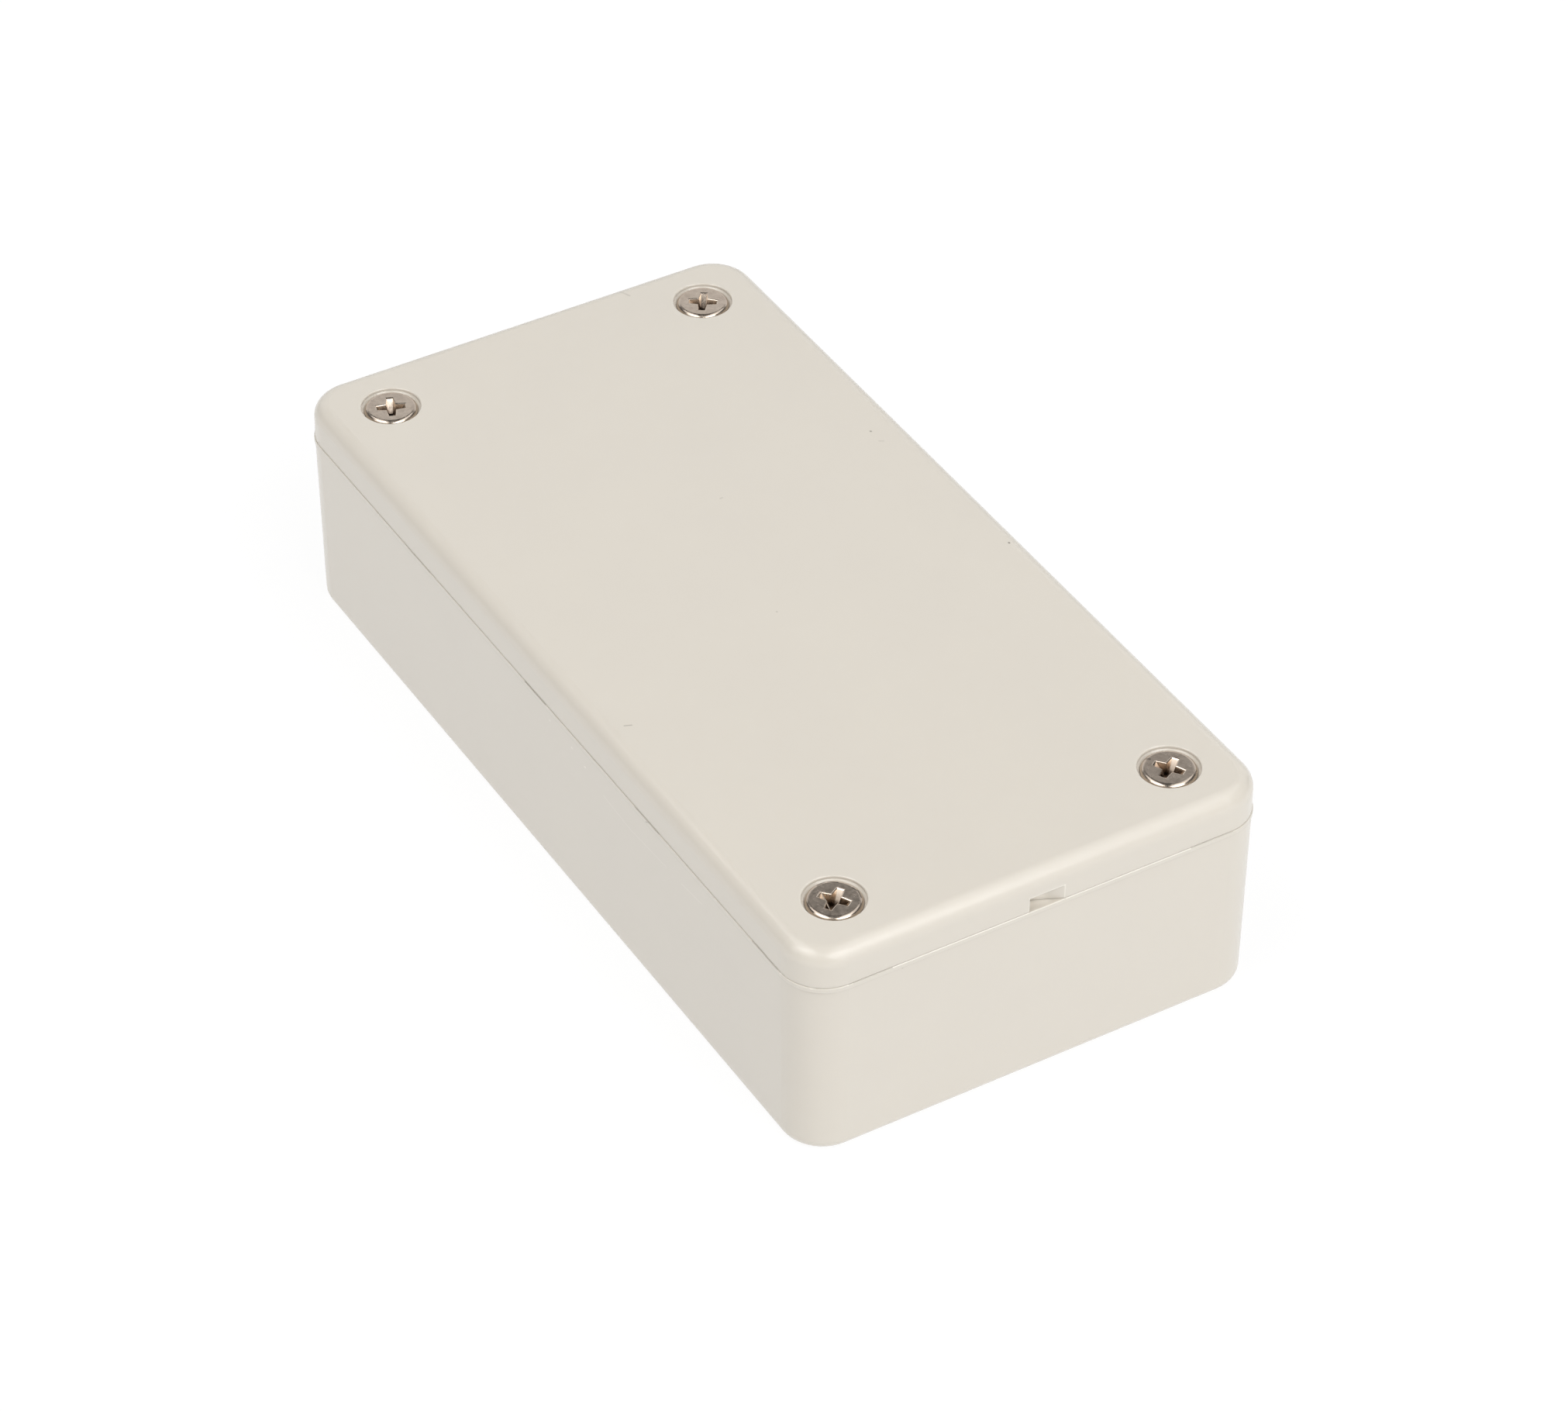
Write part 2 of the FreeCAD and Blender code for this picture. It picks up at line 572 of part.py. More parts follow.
os.makedirs("parts", exist_ok=True)
for sub_part in SUB_PARTS:
    sub_part.Shape.exportStep(f"parts/{sub_part.Label}.step")
    box = sub_part.Shape.BoundBox
    print(f"{sub_part.Label}: {sub_part.Shape.Volume:.1f} mm3, {len(sub_part.Shape.Faces)} faces,",
          f"z {box.ZMin:.2f} to {box.ZMax:.2f}")
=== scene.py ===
# %% [markdown]
# # A small plastic project box
#
# The object is a two-part moulded box for a circuit, 100 mm long: a tray-shaped base and a lid that wraps
# over its top edge. Four countersunk machine screws hold the lid to brass inserts in the base.
#
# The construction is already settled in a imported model, which is loaded here as a fixed frame. This file
# gives that frame its looks: the satin plastic, the plated screws with their threads, the knurled brass
# inserts, and the light and camera of a product photograph. Everything is in metres, with +Z up and the
# box standing on z = 0.

# %% Load the frame
import math

import bmesh
import bpy
from mathutils import Matrix, Vector


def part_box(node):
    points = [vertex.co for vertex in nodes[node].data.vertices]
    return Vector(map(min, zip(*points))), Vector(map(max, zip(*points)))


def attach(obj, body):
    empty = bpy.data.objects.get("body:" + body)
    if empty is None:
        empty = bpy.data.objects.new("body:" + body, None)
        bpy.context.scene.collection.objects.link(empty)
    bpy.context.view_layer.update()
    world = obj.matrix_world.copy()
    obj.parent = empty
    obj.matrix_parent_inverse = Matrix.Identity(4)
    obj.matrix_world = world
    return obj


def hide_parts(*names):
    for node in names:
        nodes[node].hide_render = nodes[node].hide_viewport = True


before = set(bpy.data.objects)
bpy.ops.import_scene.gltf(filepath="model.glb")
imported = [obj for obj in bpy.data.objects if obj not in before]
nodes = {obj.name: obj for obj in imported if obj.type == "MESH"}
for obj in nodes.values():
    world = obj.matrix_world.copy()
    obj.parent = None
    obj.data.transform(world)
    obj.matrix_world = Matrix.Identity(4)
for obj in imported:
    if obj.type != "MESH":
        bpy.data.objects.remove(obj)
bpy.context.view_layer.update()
MM = 0.001

# %% [markdown]
# ## Helpers for colour and shader nodes
#
# Colours are written as sRGB hex values, the way a colour picker shows them. Blender's shaders work in
# linear light, so one function turns them over. Each node could be added, set and joined in lines of its
# own. A second small function does all of that at once, which keeps each material short enough to read.

# %% Colour and node helpers
def linear(hex_colour):
    """Linear RGBA from an sRGB hex colour such as "d8d0c4", by the standard's own curve."""
    channels = [int(hex_colour[i:i + 2], 16) / 255 for i in (0, 2, 4)]
    return [c / 12.92 if c <= 0.04045 else ((c + 0.055) / 1.055) ** 2.4 for c in channels] + [1.0]


def add_node(tree, kind, inputs=None, **settings):
    """Add a node. inputs maps a socket's name or number to a value, or to another node's output socket."""
    node = tree.nodes.new(kind)
    for name, value in settings.items():
        setattr(node, name, value)
    for key, value in (inputs or {}).items():
        if isinstance(value, bpy.types.NodeSocket):
            tree.links.new(value, node.inputs[key])
        else:
            node.inputs[key].default_value = value
    return node


def new_material(name):
    """An empty node material and its node tree."""
    material = bpy.data.materials.new(name)
    material.use_nodes = True
    material.node_tree.nodes.clear()
    return material, material.node_tree


print("mid grey 808080 in linear light:", round(linear("808080")[0], 3))

# %% [markdown]
# ## Camera
#
# The camera was found by matching the box's outline, its parting line and its four screw recesses to the
# picture. It stands off the corner where the long side and the pry-slot end meet, and looks down at about
# 39 degrees through a long lens, so the box's parallel edges hardly converge. A camera could be aimed with a
# Track To constraint, but that keeps it level. A camera is also a turned frame of three axes, and writing
# those axes out directly leaves no doubt about the small roll.

# %% Camera
PICTURE_WIDTH = 2023
CAMERA_AZIMUTH = math.radians(59.249)
CAMERA_ELEVATION = math.radians(39.484)
CAMERA_ROLL = math.radians(-0.215)
CAMERA_DISTANCE = 545.107 * MM
CAMERA_AIM = Vector((-7.844 * MM, 6.964 * MM, 0))
FOCAL_PIXELS = 6985.977
SENSOR_MM = 36
CLIP_NEAR = 0.05
CLIP_FAR = 20


def put_in_scene(name, data):
    """An object for the data, in the scene's own collection."""
    added = bpy.data.objects.new(name, data)
    bpy.context.scene.collection.objects.link(added)
    return added


def turned_to(place, axes):
    """The matrix of an object at place, with its own X, Y and Z along three directions."""
    return Matrix.Translation(place) @ Matrix(axes).transposed().to_4x4()


back = Vector((
    math.sin(CAMERA_AZIMUTH) * math.cos(CAMERA_ELEVATION),
    -math.cos(CAMERA_AZIMUTH) * math.cos(CAMERA_ELEVATION),
    math.sin(CAMERA_ELEVATION),
))
level_right = Vector((math.cos(CAMERA_AZIMUTH), math.sin(CAMERA_AZIMUTH), 0))
level_up = back.cross(level_right)
right = level_right * math.cos(CAMERA_ROLL) - level_up * math.sin(CAMERA_ROLL)
up = level_right * math.sin(CAMERA_ROLL) + level_up * math.cos(CAMERA_ROLL)

camera_data = bpy.data.cameras.new("studio_camera")
camera_data.sensor_width = SENSOR_MM
camera_data.lens = FOCAL_PIXELS * SENSOR_MM / PICTURE_WIDTH
camera_data.clip_start = CLIP_NEAR
camera_data.clip_end = CLIP_FAR
camera = put_in_scene("studio_camera", camera_data)
camera.matrix_world = turned_to(CAMERA_AIM + back * CAMERA_DISTANCE, (right, up, back))
bpy.context.scene.camera = camera
print(f"lens {camera_data.lens:.1f} mm")

# %% [markdown]
# ## Floor
#
# A small product is usually shot on a sweep of white paper. The picture is exposed so that the paper goes
# fully white. A brighter lamp would do that too, but it would wash out the box. So the paper gives light of
# its own here, which keeps it white right up to the box and lights the lower walls a little, as real paper
# does.

# %% Floor
FLOOR_HALF = 2.0
FLOOR_GLOW = 0.86
floor_corners = [(x * FLOOR_HALF, y * FLOOR_HALF, 0) for x, y in ((-1, -1), (1, -1), (1, 1), (-1, 1))]
floor_mesh = bpy.data.meshes.new("floor")
floor_mesh.from_pydata(floor_corners, [], [(0, 1, 2, 3)])
floor = put_in_scene("floor", floor_mesh)

paper, tree = new_material("white_paper_sweep")
sheet = add_node(tree, "ShaderNodeBsdfPrincipled", {
    "Base Color": linear("6c6c6c"), "Roughness": 0.9, "Specular IOR Level": 0.2,
    "Emission Color": linear("ffffff"), "Emission Strength": FLOOR_GLOW})
add_node(tree, "ShaderNodeOutputMaterial", {"Surface": sheet.outputs[0]})
floor_mesh.materials.append(paper)
print(f"floor {2 * FLOOR_HALF:.0f} m square")

# %% [markdown]
# ## Light
#
# The rounded rims of the screws and the lid's corners mirror the lamps, and that shows where the lamps hang.
# Each rim has two bright patches with a dark gap between them. So two level panels hang over the set, one on
# each side of the camera's line of sight, with a gap between. Each panel is two lamps, because its near part
# is the brighter one. Three soft boxes stand lower, two to the right and one to the left, and light the
# walls. Behind the box is a pale wall, which shows in the flat heads of the far screws. An even dome of
# light would be simpler, but metal looks flat and grey under it.

# %% Lamps
PANEL_HEIGHT = 0.9
# Name, span toward the camera, span to the camera's right (metres), and radiance.
OVERHEAD_PANELS = [
    ("right_panel_far", (-0.77, -0.12), (0.2, 0.74), 1.0),
    ("right_panel_near", (-0.12, 0.54), (0.2, 0.74), 1.84),
    ("left_panel_far", (-0.54, 0.0), (-0.74, -0.2), 1.3),
    ("left_panel_near", (0.0, 0.54), (-0.74, -0.2), 3.2),
]
# Name, direction from the box, distance, width, height (metres), power (watts) and tint.
STANDING_LAMPS = [
    ("right_soft_box", (0.73, 0.09, 0.68), 0.9, 0.66, 0.5, 3.5, "ffffff"),
    ("right_low_soft_box", (0.953, 0.155, 0.27), 0.9, 0.5, 0.34, 0.9, "ffffff"),
    ("left_soft_box", (0.114, -0.698, 0.707), 0.9, 0.8, 0.5, 1.85, "fffdfa"),
    ("back_wall", (-0.82, 0.488, 0.39), 1.3, 2.4, 0.87, 4.4, "ffffff"),
]


def add_lamp(name, width, height, power, tint, matrix):
    """A rectangular lamp that shines along its own -Z."""
    lamp = bpy.data.lights.new(name, "AREA")
    lamp.shape = "RECTANGLE"
    lamp.size = width
    lamp.size_y = height
    lamp.energy = power
    lamp.color = linear(tint)[:3]
    put_in_scene(name, lamp).matrix_world = matrix


vertical = Vector((0, 0, 1))
sight = Vector((back.x, back.y, 0)).normalized()
for name, toward, rightward, radiance in OVERHEAD_PANELS:
    length = toward[1] - toward[0]
    width = rightward[1] - rightward[0]
    centre = sight * sum(toward) / 2 + level_right * sum(rightward) / 2 + vertical * PANEL_HEIGHT
    add_lamp(name, length, width, radiance * math.pi * length * width, "ffffff",
             turned_to(centre, (sight, level_right, vertical)))
for name, direction, distance, width, height, power, tint in STANDING_LAMPS:
    facing = Vector(direction).normalized()
    side = vertical.cross(facing).normalized()
    add_lamp(name, width, height, power, tint,
             turned_to(facing * distance, (side, facing.cross(side), facing)))
print("lamps:", len(OVERHEAD_PANELS) + len(STANDING_LAMPS))

# %% [markdown]
# Light also comes back from the room's own walls. A faint, even world stands for it and fills the shadows.
# The Standard view keeps white paper white. The default view would dull it to a light grey.

# %% Room
ROOM_LIGHT = 0.103
world = bpy.data.worlds.new("studio_room")
world.use_nodes = True
room = world.node_tree.nodes["Background"]
room.inputs["Color"].default_value = linear("ffffff")
room.inputs["Strength"].default_value = ROOM_LIGHT
bpy.context.scene.world = world
bpy.context.scene.view_settings.view_transform = "Standard"
print("view:", bpy.context.scene.view_settings.view_transform)

# %% [markdown]
# ## Small marks
#
# The box has been handled, so it has fine scratches, specks and scuffs. The same kind of mark also paints
# light and shade on it: painted shade along the joint and on a screw head, painted highlights on edges, and
# painted light inside the pry slot. Marks like these could be painted on an image, but then the box would
# need a flat layout of its surface. Here each mark is a short line between two points, drawn by its distance
# in millimetres: full on the line, and gone one width away. A node group works that out once, and every
# material uses it again.

# %% A mark as a node group
def make_mark_group():
    """Group with 'Strength' on the line from Start to End, falling to 0 at a distance of Width."""
    tree = bpy.data.node_groups.new("mark", "ShaderNodeTree")
    for label in ("Place", "Start", "End"):
        tree.interface.new_socket(label, in_out="INPUT", socket_type="NodeSocketVector")
    for label in ("Width", "Strength"):
        tree.interface.new_socket(label, in_out="INPUT", socket_type="NodeSocketFloat")
    tree.interface.new_socket("Mark", in_out="OUTPUT", socket_type="NodeSocketFloat")
    given = add_node(tree, "NodeGroupInput").outputs
    line = add_node(tree, "ShaderNodeVectorMath", {
        0: given["End"], 1: given["Start"]}, operation="SUBTRACT").outputs[0]
    walk = add_node(tree, "ShaderNodeVectorMath", {
        0: given["Place"], 1: given["Start"]}, operation="SUBTRACT").outputs[0]
    reached = add_node(tree, "ShaderNodeVectorMath", {0: walk, 1: line}, operation="DOT_PRODUCT")
    whole = add_node(tree, "ShaderNodeVectorMath", {0: line, 1: line}, operation="DOT_PRODUCT")
    part = add_node(tree, "ShaderNodeMath", {
        0: reached.outputs["Value"], 1: whole.outputs["Value"]}, operation="DIVIDE", use_clamp=True)
    nearest = add_node(tree, "ShaderNodeVectorMath", {
        0: line, "Scale": part.outputs[0]}, operation="SCALE")
    gap = add_node(tree, "ShaderNodeVectorMath", {0: walk, 1: nearest.outputs[0]}, operation="DISTANCE")
    fade = add_node(tree, "ShaderNodeMapRange", {
        "Value": gap.outputs["Value"], "From Min": 0.0, "From Max": given["Width"],
        "To Min": given["Strength"], "To Max": 0.0}, interpolation_type="SMOOTHSTEP")
    add_node(tree, "NodeGroupOutput", {"Mark": fade.outputs[0]})
    return tree


mark_group = make_mark_group()
print("nodes in a mark:", len(mark_group.nodes))

# %% [markdown]
# Several marks lie on one material, and at each place the strongest of them counts. The two ends of a mark
# are laid on the moulded surface first, because a line that hangs off it would draw nothing.

# %% Draw marks
def draw_marks(tree, place, marks):
    """The strongest of all the marks at each place. marks lists (start, end, width, strength) in metres."""
    strongest = None
    for start, end, width, strength in marks:
        mark = add_node(tree, "ShaderNodeGroup", node_tree=mark_group)
        tree.links.new(place, mark.inputs["Place"])
        for label, value in (("Start", start), ("End", end), ("Width", width), ("Strength", strength)):
            mark.inputs[label].default_value = value
        strongest = mark.outputs[0] if strongest is None else add_node(
            tree, "ShaderNodeMath", {0: strongest, 1: mark.outputs[0]}, operation="MAXIMUM").outputs[0]
    return strongest


def on_surface(node, marks):
    """Marks given in millimetres, with both ends moved to the nearest point of a CAD node's surface."""
    return [tuple(nodes[node].closest_point_on_mesh(Vector(point) * MM)[1] for point in (start, end))
            + (width * MM, strength) for start, end, width, strength in marks]


landing = on_surface("lid", [((60, 0, 30), (60, 0, 30), 1, 1)])[0][0]
print("a point beside the lid lands at, in mm:", [round(v / MM, 1) for v in landing])

# %% [markdown]
# The places were worked out from the picture with the camera above, so they are only about right.
# Dark marks are specks, and stretches of painted shade along the joint under the lid, where shade falls in
# the hairline gap. Pale marks are scratches, painted light inside the pry slot with painted highlights on
# its edges, and painted highlights along the joint's edge at the short side and the near corner.

# %% Where the marks are
# Each mark is its start, its end and its width in millimetres, and its strength.
# Painted shade: dark stretches along the joint under the lid, where shade falls in the gap.
JOINT_SHADE_LINE = [
    ((-26.3, -25.15, 20.4), (-21.7, -25.15, 20.4), 0.06, 0.30),
    ((-2.2, -25.15, 20.4), (1.9, -25.15, 20.4), 0.08, 0.45),
    ((19.1, -25.15, 20.4), (23.6, -25.15, 20.4), 0.07, 0.35),
    ((40.6, -25.15, 20.4), (45.1, -25.15, 20.4), 0.07, 0.35),
    ((50.1, -20.2, 20.4), (50.1, -16.1, 20.4), 0.06, 0.25),
    ((50.1, 16.1, 20.4), (50.1, 20.7, 20.4), 0.06, 0.25),
]
LID_SPECKS = [
    ((12.53, -22.46, 24.3), (12.79, -21.82, 24.3), 0.12, 0.40),
    ((-15.16, 21.25, 24.3), (-15.10, 21.25, 24.3), 0.19, 0.60),
    ((7.15, 23.41, 24.3), (7.21, 23.41, 24.3), 0.19, 0.75),
    ((-13.17, 2.76, 24.3), (-13.16, 3.00, 24.3), 0.14, 0.22),
    ((5.00, -1.53, 24.3), (5.05, -1.53, 24.3), 0.16, 0.25),
    ((-13.33, 21.11, 24.3), (-13.10, 21.51, 24.3), 0.12, 0.20),
    ((-48.91, 11.48, 24.2), (-47.72, 11.96, 24.3), 0.20, 0.20),
]
BASE_SPECKS = [
    ((50.0, -15.0, 19.8), (50.0, -14.95, 19.8), 0.14, 0.45),
    ((21.2, -25.1, 20.1), (21.7, -25.15, 20.4), 0.08, 0.55),
]
# Painted light and painted highlights: pale lines on the pry slot's edges and a wide pale patch inside it,
# where the slot lies in shade.
PRY_SLOT_PAINTED_LIGHT = [
    ((50.05, -1.5, 21.95), (50.05, 2.3, 21.95), 0.13, 0.95),
    ((50.05, 2.3, 20.45), (50.05, 2.3, 21.95), 0.09, 0.50),
    ((50.05, -1.5, 20.45), (50.05, -1.5, 21.95), 0.10, 0.60),
    ((48.5, -1.3, 20.9), (48.9, 0.2, 20.9), 1.05, 0.90),
]
# Painted light: a wide pale patch on the rim's top inside the pry slot, and a painted highlight along the
# slot's lower edge.
SLOT_FLOOR_PAINTED_LIGHT = [
    ((48.9, -1.3, 20.38), (49.3, 0.6, 20.38), 0.85, 0.90),
    ((50.1, -1.4, 20.38), (50.1, 2.2, 20.38), 0.09, 0.60),
]
# Painted highlights: pale lines along the joint's edge at the short side and round the near corner, where
# the rounded rim catches the light.
JOINT_EDGE_HIGHLIGHT = [
    ((50.1, -16.0, 20.4), (50.1, -1.6, 20.4), 0.10, 0.80),
    ((50.1, 2.4, 20.4), (50.1, 16.0, 20.4), 0.10, 0.80),
    ((50.1, -20.7, 20.4), (48.9, -23.9, 20.4), 0.09, 0.70),
    ((48.9, -23.9, 20.4), (45.6, -25.15, 20.4), 0.09, 0.70),
]
WALL_SCRATCHES = [
    ((2.42, -25.1, 18.85), (2.52, -25.1, 18.83), 0.14, 0.60),
    ((6.75, -25.1, 18.58), (6.90, -25.1, 18.58), 0.14, 0.60),
    ((9.20, -25.1, 18.00), (9.50, -25.1, 18.08), 0.12, 0.65),
    ((12.9, -25.1, 17.10), (17.9, -25.1, 16.72), 0.09, 0.28),
    ((17.9, -25.1, 16.72), (24.7, -25.1, 17.19), 0.09, 0.25),
    ((27.6, -25.1, 17.28), (31.4, -25.1, 17.67), 0.09, 0.28),
]
dark_marks_and_shade = {"base_shell": JOINT_SHADE_LINE + BASE_SPECKS, "lid": JOINT_SHADE_LINE + LID_SPECKS}
pale_marks_and_highlights = {
    "base_shell": JOINT_EDGE_HIGHLIGHT + WALL_SCRATCHES + SLOT_FLOOR_PAINTED_LIGHT,
    "lid": JOINT_EDGE_HIGHLIGHT + PRY_SLOT_PAINTED_LIGHT,
}
for name in ("base_shell", "lid"):
    print(name, "marks:", len(dark_marks_and_shade[name]) + len(pale_marks_and_highlights[name]))

# %% [markdown]
# ## Moulded ABS
#
# Both halves are injection moulded from ABS in a warm pebble grey. The tool was finely finished, so the
# surface is satin: light spreads on it softly, with a faint sheen on the rounded edges. ABS lets a little
# light in under its skin, which softens the shade in narrow gaps, and a slight subsurface does the same. All
# three colours go equally deep, or the gaps would turn blue. Moulded edges are never quite sharp. They could
# be cut into the mesh, but the mesh here stays as it is packed, so a Bevel node turns the normals across
# each edge, and the edge catches the light as a fine pale line. The mould's grain is really several times
# finer, and it is drawn coarser so that it shows at all.

# %% ABS material
GRAIN_SIZE = 0.25 * MM
GRAIN_DEPTH = 0.02 * MM
CLOUD_SIZE = 9 * MM
EDGE_ROUND = 0.08 * MM
LIGHT_DEPTH = 0.3 * MM


def moulded_abs(name, colour, dark_marks_and_shade, pale_marks_and_highlights):
    """Satin ABS: the colour in faint clouds, then the marks over it, some of them painted shade and painted
    highlights, with grain and soft edges.
    """
    material, tree = new_material(name)
    place = add_node(tree, "ShaderNodeTexCoord").outputs["Object"]
    grain = add_node(tree, "ShaderNodeTexNoise", {"Vector": place, "Scale": 1 / GRAIN_SIZE, "Detail": 3.0})
    edges = add_node(tree, "ShaderNodeBevel", {"Radius": EDGE_ROUND}, samples=6)
    bump = add_node(tree, "ShaderNodeBump", {
        "Height": grain.outputs[0], "Strength": 0.05, "Distance": GRAIN_DEPTH, "Normal": edges.outputs[0]})
    cloud = add_node(tree, "ShaderNodeTexNoise", {"Vector": place, "Scale": 1 / CLOUD_SIZE, "Detail": 4.0})
    tone = add_node(tree, "ShaderNodeMix", {
        "Factor": cloud.outputs[0], "A": linear(colour), "B": linear("dcd6cb")}, data_type="RGBA")
    # Dark marks: specks, and painted shade along the joint.
    specked_and_shaded = add_node(tree, "ShaderNodeMix", {
        "Factor": draw_marks(tree, place, dark_marks_and_shade), "A": tone.outputs["Result"],
        "B": linear("5d564c")}, data_type="RGBA")
    # Pale marks: scratches, and painted highlights and painted light along the joint and in the pry slot.
    scratched_and_lit = add_node(tree, "ShaderNodeMix", {
        "Factor": draw_marks(tree, place, pale_marks_and_highlights), "A": specked_and_shaded.outputs["Result"],
        "B": linear("f4efe6")}, data_type="RGBA")
    skin = add_node(tree, "ShaderNodeBsdfPrincipled", {
        "Base Color": scratched_and_lit.outputs["Result"], "Roughness": 0.2, "IOR": 1.53, "Normal": bump.outputs[0],
        "Subsurface Weight": 0.4, "Subsurface Radius": (1.0, 1.0, 1.0), "Subsurface Scale": LIGHT_DEPTH})
    add_node(tree, "ShaderNodeOutputMaterial", {"Surface": skin.outputs[0]})
    return material


for name in ("base_shell", "lid"):
    plastic = moulded_abs("pebble_grey_abs_" + name, "d9d3c9",
                          on_surface(name, dark_marks_and_shade[name]), on_surface(name, pale_marks_and_highlights[name]))
    nodes[name].data.materials.clear()
    nodes[name].data.materials.append(plastic)
    print(plastic.name, "nodes:", len(plastic.node_tree.nodes))

# %% [markdown]
# ## Turned parts by Geometry Nodes
#
# The screws and the brass inserts are turned parts: a profile spun round an axis. A Screw modifier or a
# spin in mesh code would do it once. A small set of Geometry Nodes does it for any profile, and its sizes
# stay named inputs that can be changed later. The first two functions start a tree with such inputs, and
# pick one value out of a list by its number.

# %% Start a tree
def start_tree(name, sizes):
    """A Geometry Nodes tree with named inputs. sizes maps each name to a value in metres or radians."""
    tree = bpy.data.node_groups.new(name, "GeometryNodeTree")
    tree.interface.new_socket("Geometry", in_out="OUTPUT", socket_type="NodeSocketGeometry")
    for label, value in sizes.items():
        kind = "NodeSocketMaterial" if isinstance(value, bpy.types.Material) else "NodeSocketFloat"
        socket = tree.interface.new_socket(label, in_out="INPUT", socket_type=kind)
        socket.default_value = value
    print(name, "inputs:", len(sizes))
    return tree, add_node(tree, "NodeGroupInput").outputs


def pick(tree, number, values, kind):
    """A field that gives each point the value with the number that it is given."""
    switch = add_node(tree, "GeometryNodeIndexSwitch", {"Index": number}, data_type=kind)
    while len(switch.index_switch_items) < len(values):
        switch.index_switch_items.new()
    for place, value in enumerate(values):
        if isinstance(value, bpy.types.NodeSocket):
            tree.links.new(value, switch.inputs[place + 1])
        else:
            switch.inputs[place + 1].default_value = value
    return switch.outputs[0]

# %% [markdown]
# The profile's corners are points of a line, and some of them are rounded by a fillet. A flat grid is then
# rolled up: its columns go round the axis, and each of its rows takes its radius and height from one point
# of the profile. The grid's two long edges meet on the far side, and a merge closes the seam and the poles.

# %% Spin a profile
SEGMENTS = 96
FILLET_STEPS = 12
SEAM_GAP = 0.0004 * MM


def spin_profile(tree, corners):
    """Nodes that turn a closed profile. corners lists (radius, height, fillet), as numbers or sockets."""
    places = [add_node(tree, "ShaderNodeCombineXYZ", {0: radius, 2: height}).outputs[0]
              for radius, height, _ in corners]
    fillets = [fillet for _, _, fillet in corners]
    line = add_node(tree, "GeometryNodeMeshLine", {"Count": len(corners)})
    own_number = add_node(tree, "GeometryNodeInputIndex").outputs[0]
    placed = add_node(tree, "GeometryNodeSetPosition", {
        "Geometry": line.outputs[0], "Position": pick(tree, own_number, places, "VECTOR")})
    curve = add_node(tree, "GeometryNodeMeshToCurve", {"Mesh": placed.outputs[0]})
    profile = add_node(tree, "GeometryNodeFilletCurve", {
        "Curve": curve.outputs[0], "Count": FILLET_STEPS, "Limit Radius": True,
        "Radius": pick(tree, own_number, fillets, "FLOAT")}, mode="POLY").outputs[0]

    rows = add_node(tree, "GeometryNodeAttributeDomainSize", {
        "Geometry": profile}, component="CURVE").outputs[0]
    last_row = add_node(tree, "ShaderNodeMath", {0: rows, 1: 1.0}, operation="SUBTRACT").outputs[0]
    grid = add_node(tree, "GeometryNodeMeshGrid", {"Vertices X": SEGMENTS + 1, "Vertices Y": rows})
    here = add_node(tree, "GeometryNodeInputPosition").outputs[0]
    on_grid = add_node(tree, "ShaderNodeSeparateXYZ", {0: here})
    share = add_node(tree, "ShaderNodeMath", {0: on_grid.outputs["Y"], 1: 0.5}).outputs[0]
    row = add_node(tree, "ShaderNodeMath", {0: share, 1: last_row}, operation="MULTIPLY").outputs[0]
    nearest_row = add_node(tree, "ShaderNodeMath", {0: row}, operation="ROUND").outputs[0]
    sample = add_node(tree, "GeometryNodeSampleIndex", {
        "Geometry": profile, "Value": here, "Index": nearest_row}, data_type="FLOAT_VECTOR")
    at_row = add_node(tree, "ShaderNodeSeparateXYZ", {0: sample.outputs[0]})

    angle = add_node(tree, "ShaderNodeMath", {
        0: on_grid.outputs["X"], 1: math.tau}, operation="MULTIPLY").outputs[0]
    across = []
    for turn in ("COSINE", "SINE"):
        swing = add_node(tree, "ShaderNodeMath", {0: angle}, operation=turn).outputs[0]
        across.append(add_node(tree, "ShaderNodeMath", {
            0: at_row.outputs["X"], 1: swing}, operation="MULTIPLY").outputs[0])
    rolled = add_node(tree, "ShaderNodeCombineXYZ", {0: across[0], 1: across[1], 2: at_row.outputs["Z"]})
    shape = add_node(tree, "GeometryNodeSetPosition", {
        "Geometry": grid.outputs[0], "Position": rolled.outputs[0]})
    print(f"profile with {len(corners)} corners, {SEGMENTS} segments round")
    return add_node(tree, "GeometryNodeMergeByDistance", {
        "Geometry": shape.outputs[0], "Distance": SEAM_GAP}).outputs[0]

# %% [markdown]
# A tree ends in Realize Instances and Set Material, and each part is then baked to a plain mesh at its own
# place on the box. Its normals are made to point outwards, and edges sharper than a limit are kept crisp.
# The round beside a flat top face would shade that face too, so a crease is put round the face.

# %% Finish a tree
STRAIGHT_UP = 0.9999


def close_tree(tree, geometry, material):
    """The last nodes of a tree."""
    real = add_node(tree, "GeometryNodeRealizeInstances", {"Geometry": geometry})
    dressed = add_node(tree, "GeometryNodeSetMaterial", {"Geometry": real.outputs[0], "Material": material})
    add_node(tree, "NodeGroupOutput", {"Geometry": dressed.outputs[0]})
    print(tree.name, "nodes:", len(tree.nodes))


